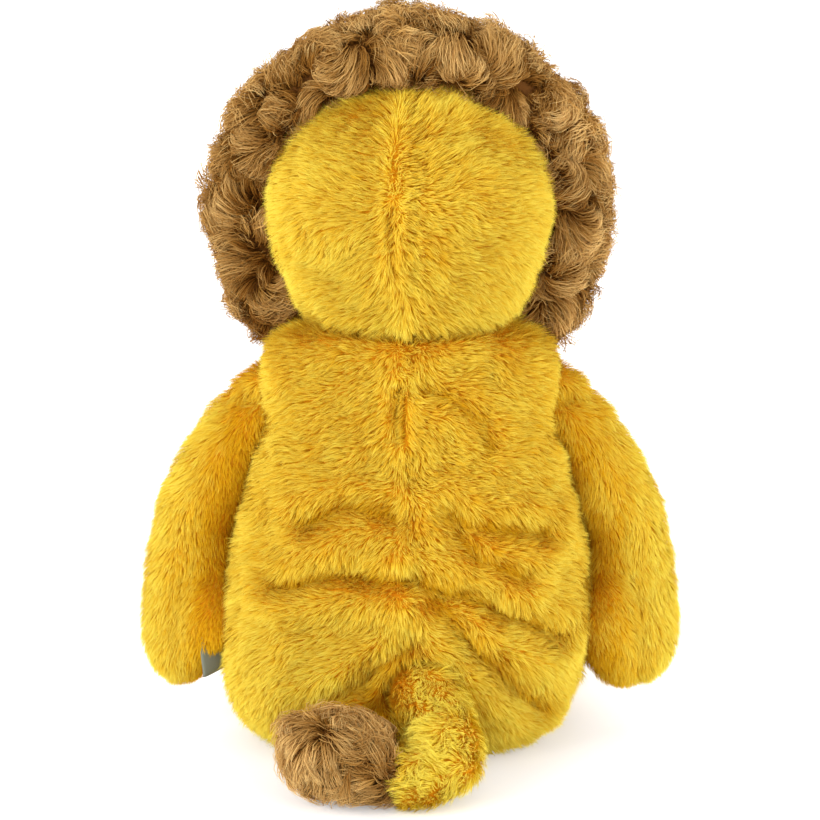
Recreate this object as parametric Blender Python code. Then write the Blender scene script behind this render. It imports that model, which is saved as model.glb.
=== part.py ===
"""Sitting plush lion: sewn fur-fabric skins, the fibre filling inside them, a mane, a tufted tail and a face.

Metres, +Z up. The lion faces -Y and sits on the plane z = 0. Its own left side is at +X.
The origin lies on the seat's flat, under the middle of the torso.
"""
import math

import bmesh
import bpy
from mathutils import Matrix, Quaternion, Vector

# Fits and facets
SEAM_GAP = 0.0003
SOCKET_GAP = 0.0008
FILLING_GAP = 0.0006
SEAT_FLAT_DEPTH = 0.0005
OVERRUN = 0.3
BALL_SEGMENTS = 16
SHARP_ANGLE = 40.0

# Fabric
TORSO_SKIN = 0.004
HEAD_SKIN = 0.004
LIMB_SKIN = 0.003
TAIL_SKIN = 0.003
SKIN_MOUTH_SHARE = 0.6

# Torso
TORSO_HEIGHT = 0.183
TORSO_HALF_WIDTH = 0.078
TORSO_HALF_DEPTH = 0.058
TORSO_SQUARENESS = 2.25
SEAT_PANEL_HEIGHT = 0.007
TORSO_RINGS = 12
TORSO_SEGMENTS = 24
# Height, half width and half depth, as shares of the torso's height, half width and half depth
TORSO_SHARES = (
    (0.00, 0.70, 0.68),
    (0.04, 0.85, 0.83),
    (0.10, 0.94, 0.93),
    (0.20, 0.995, 0.995),
    (0.32, 1.00, 1.00),
    (0.45, 0.97, 0.96),
    (0.58, 0.905, 0.89),
    (0.70, 0.84, 0.81),
    (0.84, 0.785, 0.745),
    (0.93, 0.715, 0.695),
    (0.98, 0.625, 0.655),
    (1.00, 0.545, 0.625),
)

# Pellet bag in the seat
PELLET_BAG_HALF_WIDTH = 0.045
PELLET_BAG_HALF_DEPTH = 0.026
PELLET_BAG_HALF_HEIGHT = 0.013
PELLET_BAG_BACK = 0.013

# Head
HEAD_RISE = 0.0505
HEAD_CENTRE_FORWARD = 0.004
HEAD_HALF_WIDTH = 0.0580
HEAD_HALF_DEPTH = 0.0520
HEAD_HALF_HEIGHT_UP = 0.0485
HEAD_HALF_HEIGHT_DOWN = 0.0640
FACE_SEAM_FORWARD = 0.020
HEAD_RINGS = 12
HEAD_SEGMENTS = 24
HEAD_TURN = 15.0
HEAD_TURN_COPIES = 5

# Mane
MANE_DROP = 0.0055
MANE_OUTER_RADIUS = 0.0855
MANE_CHIN_RADIUS = 0.0730
MANE_HALF_THICKNESS = 0.0200
MANE_HALF_DEPTH = 0.0180
MANE_FORWARD = 0.0220
MANE_CHIN_FORWARD = 0.0420
MANE_CROWN_FORWARD = 0.0140
MANE_LOCK_SWELL = 0.0012
MANE_LOCKS = 12
MANE_STEPS_PER_LOCK = 4
MANE_SECTION_SEGMENTS = 8
MANE_SQUARENESS = 2.3
MANE_CHIN_POWER = 4
MANE_CROWN_POWER = 2

# Ears
EAR_HALF_WIDTH = 0.0140
EAR_HALF_HEIGHT = 0.0170
EAR_HALF_DEPTH = 0.0055
EAR_LINING_DEPTH = 0.0018
EAR_ANGLE = 38.0
EAR_RADIUS = 0.0600
EAR_SEGMENTS = 12
EAR_RINGS = 8

# Face
MUZZLE_HALF_WIDTH = 0.0230
MUZZLE_HALF_HEIGHT = 0.0170
MUZZLE_HALF_DEPTH = 0.0160
MUZZLE_DROP = 0.0150
MUZZLE_SINK = 0.0040
MUZZLE_SEGMENTS = 16
MUZZLE_RINGS = 8
NOSE_HALF_WIDTH = 0.0085
NOSE_HALF_HEIGHT = 0.0055
NOSE_HALF_DEPTH = 0.0045
NOSE_RISE = 0.0085
EYE_RADIUS = 0.0055
EYE_DOME_HEIGHT = 0.0036
EYE_SHANK_RADIUS = 0.0015
EYE_SHANK_LENGTH = 0.0110
EYE_SPREAD = 0.0205
EYE_RISE = 0.0080
EYE_SEGMENTS = 12
# Radius and height of the dome's rings, as shares of its own
EYE_DOME_SHARES = ((0.96, 0.35), (0.75, 0.75), (0.40, 0.96))
WASHER_RADIUS = 0.0050
WASHER_THICKNESS = 0.0012
WASHER_SETBACK = 0.0016
STITCH_RADIUS = 0.0006
STITCH_SEGMENTS = 6
STITCH_STEPS = 5
LIP_DROP = 0.0065
SMILE_SPREAD = 0.0095
SMILE_SAG = 0.0030
SMILE_TURN_SHARE = 0.75

# Arms
SHOULDER_HEIGHT = 0.1480
SHOULDER_RADIUS = 0.0180
SHOULDER_OUTSET = 0.0010
ARM_DROP = 0.1280
ARM_RADIUS = 0.0170
ARM_SPREAD = 0.0355
ARM_FORWARD = 0.0060
ARM_SEGMENTS = 12
# Drop and spread as shares of the arm's drop and spread, forward as a share of its own, radius as a share
ARM_SHARES = (
    (0.12, 0.32, 0.10, 1.03),
    (0.24, 0.55, 0.30, 1.02),
    (0.40, 0.76, 0.60, 1.00),
    (0.58, 0.90, 0.85, 0.99),
    (0.74, 0.98, 1.00, 0.98),
    (0.86, 1.00, 1.00, 0.93),
    (0.93, 0.99, 1.00, 0.76),
    (0.98, 0.98, 1.00, 0.46),
)

# Legs
HIP_SPREAD = 0.0360
HIP_FORWARD = 0.0400
HIP_HEIGHT = 0.0262
HIP_RADIUS = 0.0240
LEG_REACH = 0.0920
LEG_RADIUS = 0.0225
LEG_SPLAY = 0.0110
LEG_SEGMENTS = 12
LEG_SWING = 45.0
LEG_SWING_COPIES = 6
FOOT_STEP = 3
SOLE_THICKNESS = 0.0020
SOLE_SHARE = 0.80
# Reach and splay as shares of the leg's reach and splay, radius as a share of the leg's radius
LEG_SHARES = (
    (0.20, 0.20, 1.03),
    (0.42, 0.50, 0.98),
    (0.62, 0.75, 1.00),
    (0.80, 0.95, 1.13),
    (0.92, 1.00, 1.12),
    (0.98, 1.00, 1.03),
    (1.00, 1.00, 0.92),
)

# Tail
TAIL_ROOT_SIDE = 0.0070
TAIL_ROOT_HEIGHT = 0.0370
TAIL_ROOT_RADIUS = 0.0150
TAIL_ROOT_SINK = 0.0010
TAIL_REACH = 0.0290
TAIL_CURL = 0.0130
TAIL_RADIUS = 0.0132
TAIL_SEGMENTS = 12
# Reach behind the root and height as shares of the tail's reach and of the root's height above the tube that
# lies down, side as a share of the curl (away from the tuft is minus), radius as a share of the tail's radius
TAIL_SHARES = (
    (0.35, 0.86, -0.30, 1.00),
    (0.70, 0.56, -0.52, 1.00),
    (0.95, 0.20, -0.30, 1.00),
    (1.06, 0.04, 0.30, 1.00),
    (1.06, 0.00, 0.95, 1.02),
)
TUFT_LENGTH = 0.0520
TUFT_RADIUS = 0.0200
TUFT_SEGMENTS = 12
TUFT_SWEEP = 0.0080
# Length and radius as shares of the tuft's length and radius, and its sweep towards the torso as a share
TUFT_SHARES = (
    (0.00, 0.74, 0.00),
    (0.10, 0.93, 0.00),
    (0.28, 1.00, 0.05),
    (0.55, 1.00, 0.28),
    (0.78, 0.90, 0.62),
    (0.92, 0.66, 0.88),
)

# Label in the left side seam
LABEL_HEIGHT = 0.0320
LABEL_REACH = 0.0120
LABEL_THICKNESS = 0.0010
LABEL_CENTRE_HEIGHT = 0.0430
LABEL_BACK = 0.0070
LABEL_LEAN = 38.0

YELLOW = (0.80, 0.45, 0.035)
BROWN = (0.32, 0.16, 0.045)
CREAM = (0.84, 0.70, 0.46)
FIBRE = (0.90, 0.90, 0.88)
DARK = (0.035, 0.022, 0.015)
LABEL_CLOTH = (0.42, 0.45, 0.40)

SIDES = (("left", 1), ("right", -1))
UP = Vector((0, 0, 1))
FORWARD = Vector((0, -1, 0))
LEFT = Vector((1, 0, 0))
STEEP_RISE = 0.75


# Tables and rings

def read_shares(rows, share):
    """One row of a table of shares, read at any first value on a smooth curve through its rows."""
    last = len(rows) - 1
    step = next((i for i in range(last) if share <= rows[i + 1][0]), last - 1)
    low, high = rows[step], rows[step + 1]
    before, after = rows[max(step - 1, 0)], rows[min(step + 2, last)]
    span = high[0] - low[0]
    t = (share - low[0]) / span
    values = []
    for column in range(1, len(low)):
        slope_low = (high[column] - before[column]) / (high[0] - before[0]) * span
        slope_high = (after[column] - low[column]) / (after[0] - low[0]) * span
        bend = (2 * t ** 3 - 3 * t ** 2 + 1) * low[column] + (t ** 3 - 2 * t ** 2 + t) * slope_low
        values.append(bend + (3 * t ** 2 - 2 * t ** 3) * high[column] + (t ** 3 - t ** 2) * slope_high)
    return values


def ring(centre, across, upward, half_across, half_upward, segments, squareness=2.0):
    """Points round a rounded section: an ellipse at squareness 2, fuller at its corners above that."""
    points = []
    for step in range(segments):
        angle = math.tau * (step + 0.5) / segments
        cosine, sine = math.cos(angle), math.sin(angle)
        side = math.copysign(abs(cosine) ** (2 / squareness), cosine)
        rise = math.copysign(abs(sine) ** (2 / squareness), sine)
        points.append(centre + across * (half_across * side) + upward * (half_upward * rise))
    return points


def skin_rings(rings, closed_loop=False):
    """A mesh through a list of rings; a ring of one point is a pole, and an open end is filled flat."""
    mesh = bmesh.new()
    rows = [[mesh.verts.new(point) for point in points] for points in rings]
    pairs = list(zip(rows, rows[1:]))
    if closed_loop:
        pairs.append((rows[-1], rows[0]))
    for low, high in pairs:
        count = max(len(low), len(high))
        for i in range(count):
            j = (i + 1) % count
            corners = [low[i % len(low)], low[j % len(low)], high[j % len(high)], high[i % len(high)]]
            mesh.faces.new(list(dict.fromkeys(corners)))
    if not closed_loop:
        for row in (rows[0], rows[-1]):
            if len(row) > 2:
                mesh.faces.new(row)
    bmesh.ops.recalc_face_normals(mesh, faces=mesh.faces)
    return mesh


def make_object(name, mesh):
    """Puts a bmesh in the scene as an object of its own."""
    data = bpy.data.meshes.new(name)
    mesh.to_mesh(data)
    mesh.free()
    obj = bpy.data.objects.new(name, data)
    bpy.context.scene.collection.objects.link(obj)
    return obj


def combine(target, cutter, operation="DIFFERENCE", solver="EXACT"):
    """Applies one Boolean to target and removes the cutter."""
    modifier = target.modifiers.new("cut", "BOOLEAN")
    modifier.operation = operation
    modifier.solver = solver
    modifier.object = cutter
    result = bpy.data.meshes.new_from_object(target.evaluated_get(bpy.context.evaluated_depsgraph_get()))
    target.modifiers.remove(modifier)
    old = target.data
    target.data = result
    result.name = target.name
    bpy.data.meshes.remove(old)
    remove(cutter)
    return target


def remove(obj):
    data = obj.data
    bpy.data.objects.remove(obj)
    bpy.data.meshes.remove(data)


def copy_object(obj, name, centre, axis, turn):
    """A copy with its own mesh, turned about an axis through a point."""
    twin = obj.copy()
    twin.data = obj.data.copy()
    twin.name = name
    place = Matrix.Translation(centre)
    twin.data.transform(place @ Matrix.Rotation(turn, 4, axis) @ place.inverted())
    bpy.context.scene.collection.objects.link(twin)
    return twin


def make_box(name, low, high):
    """A plain block between two corners, used to cut."""
    mesh = bmesh.new()
    bmesh.ops.create_cube(mesh, size=1.0)
    size = Vector(high) - Vector(low)
    middle = (Vector(high) + Vector(low)) / 2
    bmesh.ops.transform(mesh, matrix=Matrix.Translation(middle) @ Matrix.Diagonal((*size, 1)), verts=mesh.verts)
    return make_object(name, mesh)


def half_space(name, axis, side, offset):
    """A block that fills one side of the plane where the given axis equals offset."""
    low = [-OVERRUN, -OVERRUN, -OVERRUN]
    high = [OVERRUN, OVERRUN, OVERRUN]
    if side > 0:
        low[axis] = offset
        high[axis] = offset + OVERRUN
    else:
        high[axis] = offset
        low[axis] = offset - OVERRUN
    return make_box(name, low, high)


def cut_flat(obj, height=0.0):
    """Removes what lies below the floor, which leaves the flat that the form rests on."""
    return combine(obj, half_space("floor_cut", 2, -1, height), solver="MANIFOLD")


def make_ball(name, centre, radius):
    """A faceted ball with its corners on the sphere."""
    mesh = bmesh.new()
    bmesh.ops.create_uvsphere(mesh, u_segments=BALL_SEGMENTS, v_segments=BALL_SEGMENTS // 2, radius=radius)
    bmesh.ops.translate(mesh, vec=centre, verts=mesh.verts)
    return make_object(name, mesh)


def make_ellipsoid(name, centre, half_sizes, segments, rings, turn=Quaternion()):
    """An ellipsoid whose poles lie on its own third axis."""
    mesh = bmesh.new()
    bmesh.ops.create_uvsphere(mesh, u_segments=segments, v_segments=rings, radius=1.0)
    place = Matrix.LocRotScale(centre, turn, Vector(half_sizes))
    bmesh.ops.transform(mesh, matrix=place, verts=mesh.verts)
    return make_object(name, mesh)


def turn_profile(name, profile, place, segments):
    """Turns a profile of (radius, height) pairs, each end on the axis, and sets it at a place."""
    rings = []
    for radius, height in profile:
        centre = Vector((0, 0, height))
        if radius == 0:
            rings.append([centre])
        else:
            rings.append(ring(centre, LEFT, -FORWARD, radius, radius, segments))
    mesh = skin_rings(rings)
    bmesh.ops.transform(mesh, matrix=place, verts=mesh.verts)
    return make_object(name, mesh)


# The torso

def torso_half_sizes(height):
    """Half width and half depth of the torso at a height above the seat."""
    width_share, depth_share = read_shares(TORSO_SHARES, min(max(height / TORSO_HEIGHT, 0), 1))
    return TORSO_HALF_WIDTH * width_share, TORSO_HALF_DEPTH * depth_share


def torso_rings(grow):
    """Rings from the seat to the neck, closer at both ends, set out from the torso's surface by grow."""
    rings = []
    bottom = -SEAT_FLAT_DEPTH - grow
    top = TORSO_HEIGHT + grow
    for step in range(TORSO_RINGS + 1):
        share = (1 - math.cos(math.pi * step / TORSO_RINGS)) / 2
        width_share, depth_share = read_shares(TORSO_SHARES, share)
        centre = Vector((0, 0, bottom + (top - bottom) * share))
        half_width = TORSO_HALF_WIDTH * width_share + grow
        half_depth = TORSO_HALF_DEPTH * depth_share + grow
        rings.append(ring(centre, LEFT, -FORWARD, half_width, half_depth, TORSO_SEGMENTS, TORSO_SQUARENESS))
    return rings


def torso_form(name, grow=0.0):
    return make_object(name, skin_rings(torso_rings(grow)))


def torso_shell(name):
    """The torso's whole skin: open at the neck, with a floor at the seat."""
    inner = torso_rings(-TORSO_SKIN)
    neck = [[Vector((p.x, p.y, TORSO_HEIGHT)) for p in inner[-1]]]
    shell = make_object(name, skin_rings(torso_rings(0.0) + neck + inner[::-1]))
    return cut_flat(shell)


def limb_balls():
    """Centre and radius of the round root of each limb, which sits in a socket in the torso."""
    balls = {"tail": (tail_root(), TAIL_ROOT_RADIUS)}
    for side, sign in SIDES:
        balls[side + "_arm"] = (shoulder(sign), SHOULDER_RADIUS)
        balls[side + "_leg"] = (hip(sign), HIP_RADIUS)
    return balls


def cut_sockets(obj):
    """Cuts the round seats of all limb roots out of one piece of the torso."""
    for name, (centre, radius) in limb_balls().items():
        combine(obj, make_ball(name + "_socket", centre, radius + SOCKET_GAP + socket_sag(radius)))
    return obj


def clear_of_legs(obj):
    """Cuts the front of the seat back where the legs swing down, and the real fabric folds."""
    for side, sign in SIDES:
        leg = make_object("swinging_leg", skin_rings(leg_rings(sign, SOCKET_GAP)))
        clear_torso(leg, hip(sign), HIP_RADIUS, -SOCKET_GAP)
        for step in range(LEG_SWING_COPIES):
            turn = math.radians(LEG_SWING) * (step + 1) / LEG_SWING_COPIES
            combine(obj, copy_object(leg, "swung_leg", hip(sign), "X", turn), solver="MANIFOLD")
        remove(leg)
    return obj


def socket_sag(radius):
    """How much larger a faceted ball is made, so that its flats stay outside the round of that radius."""
    return radius * (1 / math.cos(math.pi / BALL_SEGMENTS) ** 2 - 1)


def build_torso():
    """Two back panels, a belly panel and a seat panel, round the filling and its bag of pellets."""
    half_gap = SEAM_GAP / 2
    panels = {
        "seat_panel": ((2, -1, SEAT_PANEL_HEIGHT - half_gap),),
        "belly_panel": ((2, 1, SEAT_PANEL_HEIGHT + half_gap), (1, -1, -half_gap)),
        "back_panel_left": ((2, 1, SEAT_PANEL_HEIGHT + half_gap), (1, 1, half_gap), (0, 1, half_gap)),
        "back_panel_right": ((2, 1, SEAT_PANEL_HEIGHT + half_gap), (1, 1, half_gap), (0, -1, -half_gap)),
    }
    for name, planes in panels.items():
        panel = torso_shell(name)
        for axis, side, offset in planes:
            combine(panel, half_space("panel_cut", axis, side, offset), "INTERSECT")
        cut_sockets(panel)
        if name in ("belly_panel", "seat_panel"):
            clear_of_legs(panel)
        finish(panel, YELLOW, 0.95)
    filling = torso_form("torso_filling", -TORSO_SKIN - FILLING_GAP)
    rise = make_box("neck_cut", (-OVERRUN, -OVERRUN, TORSO_HEIGHT), (OVERRUN, OVERRUN, OVERRUN))
    combine(filling, rise)
    bag_sizes = (PELLET_BAG_HALF_WIDTH, PELLET_BAG_HALF_DEPTH, PELLET_BAG_HALF_HEIGHT)
    bag_centre = Vector((0, PELLET_BAG_BACK, TORSO_SKIN + SEAM_GAP + PELLET_BAG_HALF_HEIGHT))
    grown = [size + FILLING_GAP for size in bag_sizes]
    combine(filling, make_ellipsoid("bag_room", bag_centre, grown, MUZZLE_SEGMENTS, MUZZLE_RINGS))
    finish(clear_of_legs(cut_sockets(filling)), FIBRE, 1.0)
    bag = make_ellipsoid("pellet_bag", bag_centre, bag_sizes, MUZZLE_SEGMENTS, MUZZLE_RINGS)
    finish(bag, CREAM, 0.9)


def build_label():
    """A bare cloth label, folded and caught in the left side seam, leaning back between torso and arm."""
    half_width, half_depth = torso_half_sizes(LABEL_CENTRE_HEIGHT)
    across = half_width * math.sqrt(1 - (LABEL_BACK / half_depth) ** 2)
    direction = Quaternion(UP, math.radians(LABEL_LEAN)) @ LEFT
    mesh = bmesh.new()
    bmesh.ops.create_cube(mesh, size=1.0)
    size = Matrix.Diagonal((LABEL_REACH * 2, LABEL_THICKNESS, LABEL_HEIGHT, 1))
    place = Matrix.Translation((across, LABEL_BACK, LABEL_CENTRE_HEIGHT))
    turn = direction.to_track_quat("X", "Z").to_matrix().to_4x4()
    bmesh.ops.transform(mesh, matrix=place @ turn @ size, verts=mesh.verts)
    label = make_object("side_label", mesh)
    combine(label, torso_form("label_seat", SEAM_GAP))
    combine(label, make_object("label_clear", skin_rings(arm_rings(1, SEAM_GAP))))
    finish(label, LABEL_CLOTH, 0.8)


# Limbs

def limb_rings(stations, grow, segments, root_direction, tip, flat_tip=False, straight=False):
    """Rings along a limb: half a ball round its root, then one ring at each station.

    stations is a list of (centre, radius). The half ball faces away from the limb. The rings are square to the
    path, or to the root's direction on a straight limb.
    """
    centres = [centre for centre, radius in stations]
    radii = [radius for centre, radius in stations]
    widest = max(range(1, len(radii)), key=lambda step: radii[step])
    root, root_radius = stations[0]
    end = (tip - centres[-1]).normalized()
    rings = [[root - root_direction * (root_radius + grow)]]
    steps = segments // 4
    across, upward = square_axes(root_direction)
    for step in range(1, steps + 1):
        angle = math.pi / 2 * step / steps
        back = root - root_direction * ((root_radius + grow) * math.cos(angle))
        radius = (root_radius + grow) * math.sin(angle)
        rings.append(ring(back, across, upward, radius, radius, segments))
    for step in range(1, len(stations)):
        centre, radius = stations[step]
        ahead = centres[step + 1] if step + 1 < len(stations) else tip
        across, upward = square_axes(root_direction if straight else ahead - centres[step - 1])
        closing = 0.0
        if step > widest and flat_tip:
            closing = (step - widest) / (len(stations) - 1 - widest)
        elif step > widest:
            closing = math.sqrt(1 - (radius / radii[widest]) ** 2)
        place = centre + end * (grow * closing)
        rings.append(ring(place, across, upward, radius + grow, radius + grow, segments))
    if not flat_tip:
        rings.append([tip + end * grow])
    return rings


def square_axes(direction):
    """Two axes square to a direction, the second near to upright, or near to forward on a hanging limb."""
    direction = direction.normalized()
    guide = UP if abs(direction.z) < STEEP_RISE else FORWARD
    across = direction.cross(guide).normalized()
    return across, across.cross(direction).normalized()


def clear_torso(obj, ball_centre, ball_radius, grow):
    """Cuts a limb by the torso, set out by grow, except inside the limb's own round root."""
    cutter = torso_form("torso_cut", SEAM_GAP + grow)
    combine(cutter, make_ball("root_room", ball_centre, ball_radius + socket_sag(ball_radius) - grow))
    return combine(obj, cutter, solver="MANIFOLD")


def build_limb(name, rings_at, root, root_radius, root_direction, skin, colour, filling_name):
    """A limb's skin, open at its root, and the filling inside it."""
    body = make_object(name, skin_rings(rings_at(0.0)))
    clear_torso(body, root, root_radius, 0.0)
    hollow = make_object("hollow", skin_rings(rings_at(-skin)))
    mouth_radius = root_radius * SKIN_MOUTH_SHARE
    mouth_length = root_radius + skin
    across, upward = square_axes(root_direction)
    mouth_ends = [root, root - root_direction * mouth_length]
    mouth_rings = [ring(end, across, upward, mouth_radius, mouth_radius, ARM_SEGMENTS) for end in mouth_ends]
    mouth = make_object("mouth", skin_rings(mouth_rings))
    clear_torso(hollow, root, root_radius, skin)
    cut_flat(hollow, skin)
    combine(hollow, mouth, "UNION", "MANIFOLD")
    combine(body, hollow, solver="MANIFOLD")
    cut_flat(body)
    finish(body, colour, 0.95)
    filling = make_object(filling_name, skin_rings(rings_at(-skin - FILLING_GAP)))
    clear_torso(filling, root, root_radius, skin + FILLING_GAP)
    cut_flat(filling, skin + FILLING_GAP)
    finish(filling, FIBRE, 1.0)


def shoulder(sign):
    """Centre of an arm's round root, on the torso's side."""
    half_width, half_depth = torso_half_sizes(SHOULDER_HEIGHT)
    return Vector((sign * (half_width + SHOULDER_OUTSET), 0, SHOULDER_HEIGHT))


def arm_stations(sign):
    root = shoulder(sign)
    stations = [(root, SHOULDER_RADIUS)]
    for drop, spread, forward, width in ARM_SHARES:
        offset = Vector((sign * ARM_SPREAD * spread, -ARM_FORWARD * forward, -ARM_DROP * drop))
        stations.append((root + offset, ARM_RADIUS * width))
    return stations, root + Vector((sign * ARM_SPREAD * ARM_SHARES[-1][1], -ARM_FORWARD, -ARM_DROP))


def arm_rings(sign, grow):
    stations, tip = arm_stations(sign)
    return limb_rings(stations, grow, ARM_SEGMENTS, arm_direction(sign), tip)


def arm_direction(sign):
    stations, tip = arm_stations(sign)
    return (stations[1][0] - stations[0][0]).normalized()


def build_arms():
    for side, sign in SIDES:
        build_limb(
            side + "_arm", lambda grow: arm_rings(sign, grow), shoulder(sign), SHOULDER_RADIUS,
            arm_direction(sign), LIMB_SKIN, YELLOW, side + "_arm_filling",
        )


def lying_height(radius, segments):
    """Height of the middle of a ring whose lowest facet is pressed flat on the floor."""
    return radius * math.cos(math.pi / segments) - SEAT_FLAT_DEPTH


def hip(sign):
    return Vector((sign * HIP_SPREAD, -HIP_FORWARD, HIP_HEIGHT))


def leg_stations(sign):
    """Root and rings of a leg that lies along the floor, its underside a hair below it before the flat cut."""
    root = hip(sign)
    stations = [(root, HIP_RADIUS)]
    for reach, splay, width in LEG_SHARES:
        radius = LEG_RADIUS * width
        height = lying_height(radius, LEG_SEGMENTS)
        if reach > LEG_SHARES[FOOT_STEP][0]:
            height = lying_height(LEG_RADIUS * LEG_SHARES[FOOT_STEP][2], LEG_SEGMENTS)
        across = root.x + sign * LEG_SPLAY * splay
        stations.append((Vector((across, root.y - LEG_REACH * reach, height)), radius))
    return stations


def leg_rings(sign, grow):
    stations = leg_stations(sign)
    tip = stations[-1][0] + FORWARD * SOLE_THICKNESS
    return limb_rings(stations, grow, LEG_SEGMENTS, FORWARD, tip, flat_tip=True, straight=True)


def build_legs():
    for side, sign in SIDES:
        build_limb(
            side + "_leg", lambda grow: leg_rings(sign, grow), hip(sign), HIP_RADIUS,
            FORWARD, LIMB_SKIN, YELLOW, side + "_leg_filling",
        )
        centre, radius = leg_stations(sign)[-1]
        face = centre + FORWARD * SEAM_GAP
        sole_radius = radius * SOLE_SHARE
        ends = [face, face + FORWARD * SOLE_THICKNESS]
        rings = [ring(end, LEFT, UP, sole_radius, sole_radius, LEG_SEGMENTS) for end in ends]
        finish(make_object(side + "_sole", skin_rings(rings)), CREAM, 0.9)


def tail_root():
    half_width, half_depth = torso_half_sizes(TAIL_ROOT_HEIGHT)
    return Vector((-TAIL_ROOT_SIDE, half_depth - TAIL_ROOT_SINK, TAIL_ROOT_HEIGHT))


def tail_stations():
    root = tail_root()
    lying = lying_height(TAIL_RADIUS, TAIL_SEGMENTS)
    stations = [(root, TAIL_ROOT_RADIUS)]
    for reach, rise, side, width in TAIL_SHARES:
        height = lying + (root.z - lying) * rise
        centre = Vector((root.x + TAIL_CURL * side, root.y + TAIL_REACH * reach, height))
        stations.append((centre, TAIL_RADIUS * width))
    return stations


def tail_direction():
    stations = tail_stations()
    return (stations[1][0] - stations[0][0]).normalized()


def tail_rings(grow):
    """The tail's rings; its last one is square to the side, where the tuft is sewn on."""
    stations = tail_stations()
    tip = stations[-1][0] + LEFT * TAIL_RADIUS
    rings = limb_rings(stations, grow, TAIL_SEGMENTS, tail_direction(), tip, flat_tip=True)
    centre, radius = stations[-1]
    end = centre + LEFT * min(grow, 0.0)
    rings[-1] = ring(end, FORWARD, UP, radius + grow, radius + grow, TAIL_SEGMENTS)
    return rings


def build_tail():
    build_limb(
        "tail_tube", tail_rings, tail_root(), TAIL_ROOT_RADIUS, tail_direction(),
        TAIL_SKIN, YELLOW, "tail_filling",
    )
    start = tail_stations()[-1][0] + LEFT * SEAM_GAP
    rings = []
    for length, width, sweep in TUFT_SHARES:
        radius = TUFT_RADIUS * width
        height = lying_height(radius, TUFT_SEGMENTS)
        middle = Vector((start.x + TUFT_LENGTH * length, start.y - TUFT_SWEEP * sweep, height))
        rings.append(ring(middle, FORWARD, UP, radius, radius, TUFT_SEGMENTS))
    tip_height = TUFT_RADIUS * TUFT_SHARES[-1][1]
    rings.append([Vector((start.x + TUFT_LENGTH, start.y - TUFT_SWEEP, tip_height))])
    finish(cut_flat(make_object("tail_tuft", skin_rings(rings))), BROWN, 0.95)


# The head

def head_centre():
    return Vector((0, -HEAD_CENTRE_FORWARD, TORSO_HEIGHT + HEAD_RISE))


def head_form(name, grow=0.0):
    """The head as rings round its front-to-back axis: fuller below its middle than above."""
    centre = head_centre()
    rings = [[centre + FORWARD * (HEAD_HALF_DEPTH + grow)]]
    for step in range(1, HEAD_RINGS):
        angle = math.pi * step / HEAD_RINGS
        middle = centre + FORWARD * ((HEAD_HALF_DEPTH + grow) * math.cos(angle))
        row = []
        for point in ring(Vector(), LEFT, UP, 1.0, 1.0, HEAD_SEGMENTS):
            half_height = HEAD_HALF_HEIGHT_UP if point.z > 0 else HEAD_HALF_HEIGHT_DOWN
            spread = Vector((point.x * (HEAD_HALF_WIDTH + grow), 0, point.z * (half_height + grow)))
            row.append(middle + spread * math.sin(angle))
        rings.append(row)
    rings.append([centre - FORWARD * (HEAD_HALF_DEPTH + grow)])
    return make_object(name, skin_rings(rings))


def face_point(across, rise):
    """A point of the face's surface, and the way out of it, from its offsets to the head's middle."""
    half_height = HEAD_HALF_HEIGHT_UP if rise > 0 else HEAD_HALF_HEIGHT_DOWN
    depth = math.sqrt(1 - (across / HEAD_HALF_WIDTH) ** 2 - (rise / half_height) ** 2)
    point = head_centre() + Vector((across, -HEAD_HALF_DEPTH * depth, rise))
    out = Vector((across / HEAD_HALF_WIDTH ** 2, -depth / HEAD_HALF_DEPTH, rise / half_height ** 2))
    return point, out.normalized()


def clear_of_turn(obj):
    """Cuts a piece of the head by the torso and the shoulders, through the head's whole turn."""
    solid = torso_form("shoulders", SEAM_GAP)
    for side, sign in SIDES:
        radius = SHOULDER_RADIUS + SEAM_GAP + socket_sag(SHOULDER_RADIUS)
        combine(solid, make_ball("shoulder_room", shoulder(sign), radius), "UNION")
    for step in range(HEAD_TURN_COPIES):
        turn = math.radians(HEAD_TURN) * (2 * step / (HEAD_TURN_COPIES - 1) - 1)
        combine(obj, copy_object(solid, "turned_shoulders", neck(), "Z", turn), solver="MANIFOLD")
    remove(solid)
    return obj


def build_head():
    """Two back panels and a face panel round the filling, open where the neck is sewn to the torso."""
    half_gap = SEAM_GAP / 2
    seam = -FACE_SEAM_FORWARD
    panels = {
        "face_panel": ((1, -1, seam - half_gap),),
        "head_back_left": ((1, 1, seam + half_gap), (0, 1, half_gap)),
        "head_back_right": ((1, 1, seam + half_gap), (0, -1, -half_gap)),
    }
    for name, planes in panels.items():
        panel = head_form(name)
        combine(panel, head_form("head_hollow", -HEAD_SKIN))
        clear_of_turn(panel)
        for axis, side, offset in planes:
            combine(panel, half_space("panel_cut", axis, side, offset), "INTERSECT")
        if name == "face_panel":
            for side, sign in SIDES:
                combine(panel, make_eye("eye_hole", sign, SEAM_GAP))
        finish(panel, YELLOW, 0.95)
    filling = clear_of_turn(head_form("head_filling", -HEAD_SKIN - FILLING_GAP))
    for side, sign in SIDES:
        combine(filling, make_eye("eye_room", sign, SEAM_GAP), solver="MANIFOLD")
        combine(filling, make_washer("washer_room", sign, SEAM_GAP), solver="MANIFOLD")
    finish(filling, FIBRE, 1.0)


def mane_height():
    return head_centre().z - MANE_DROP


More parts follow.
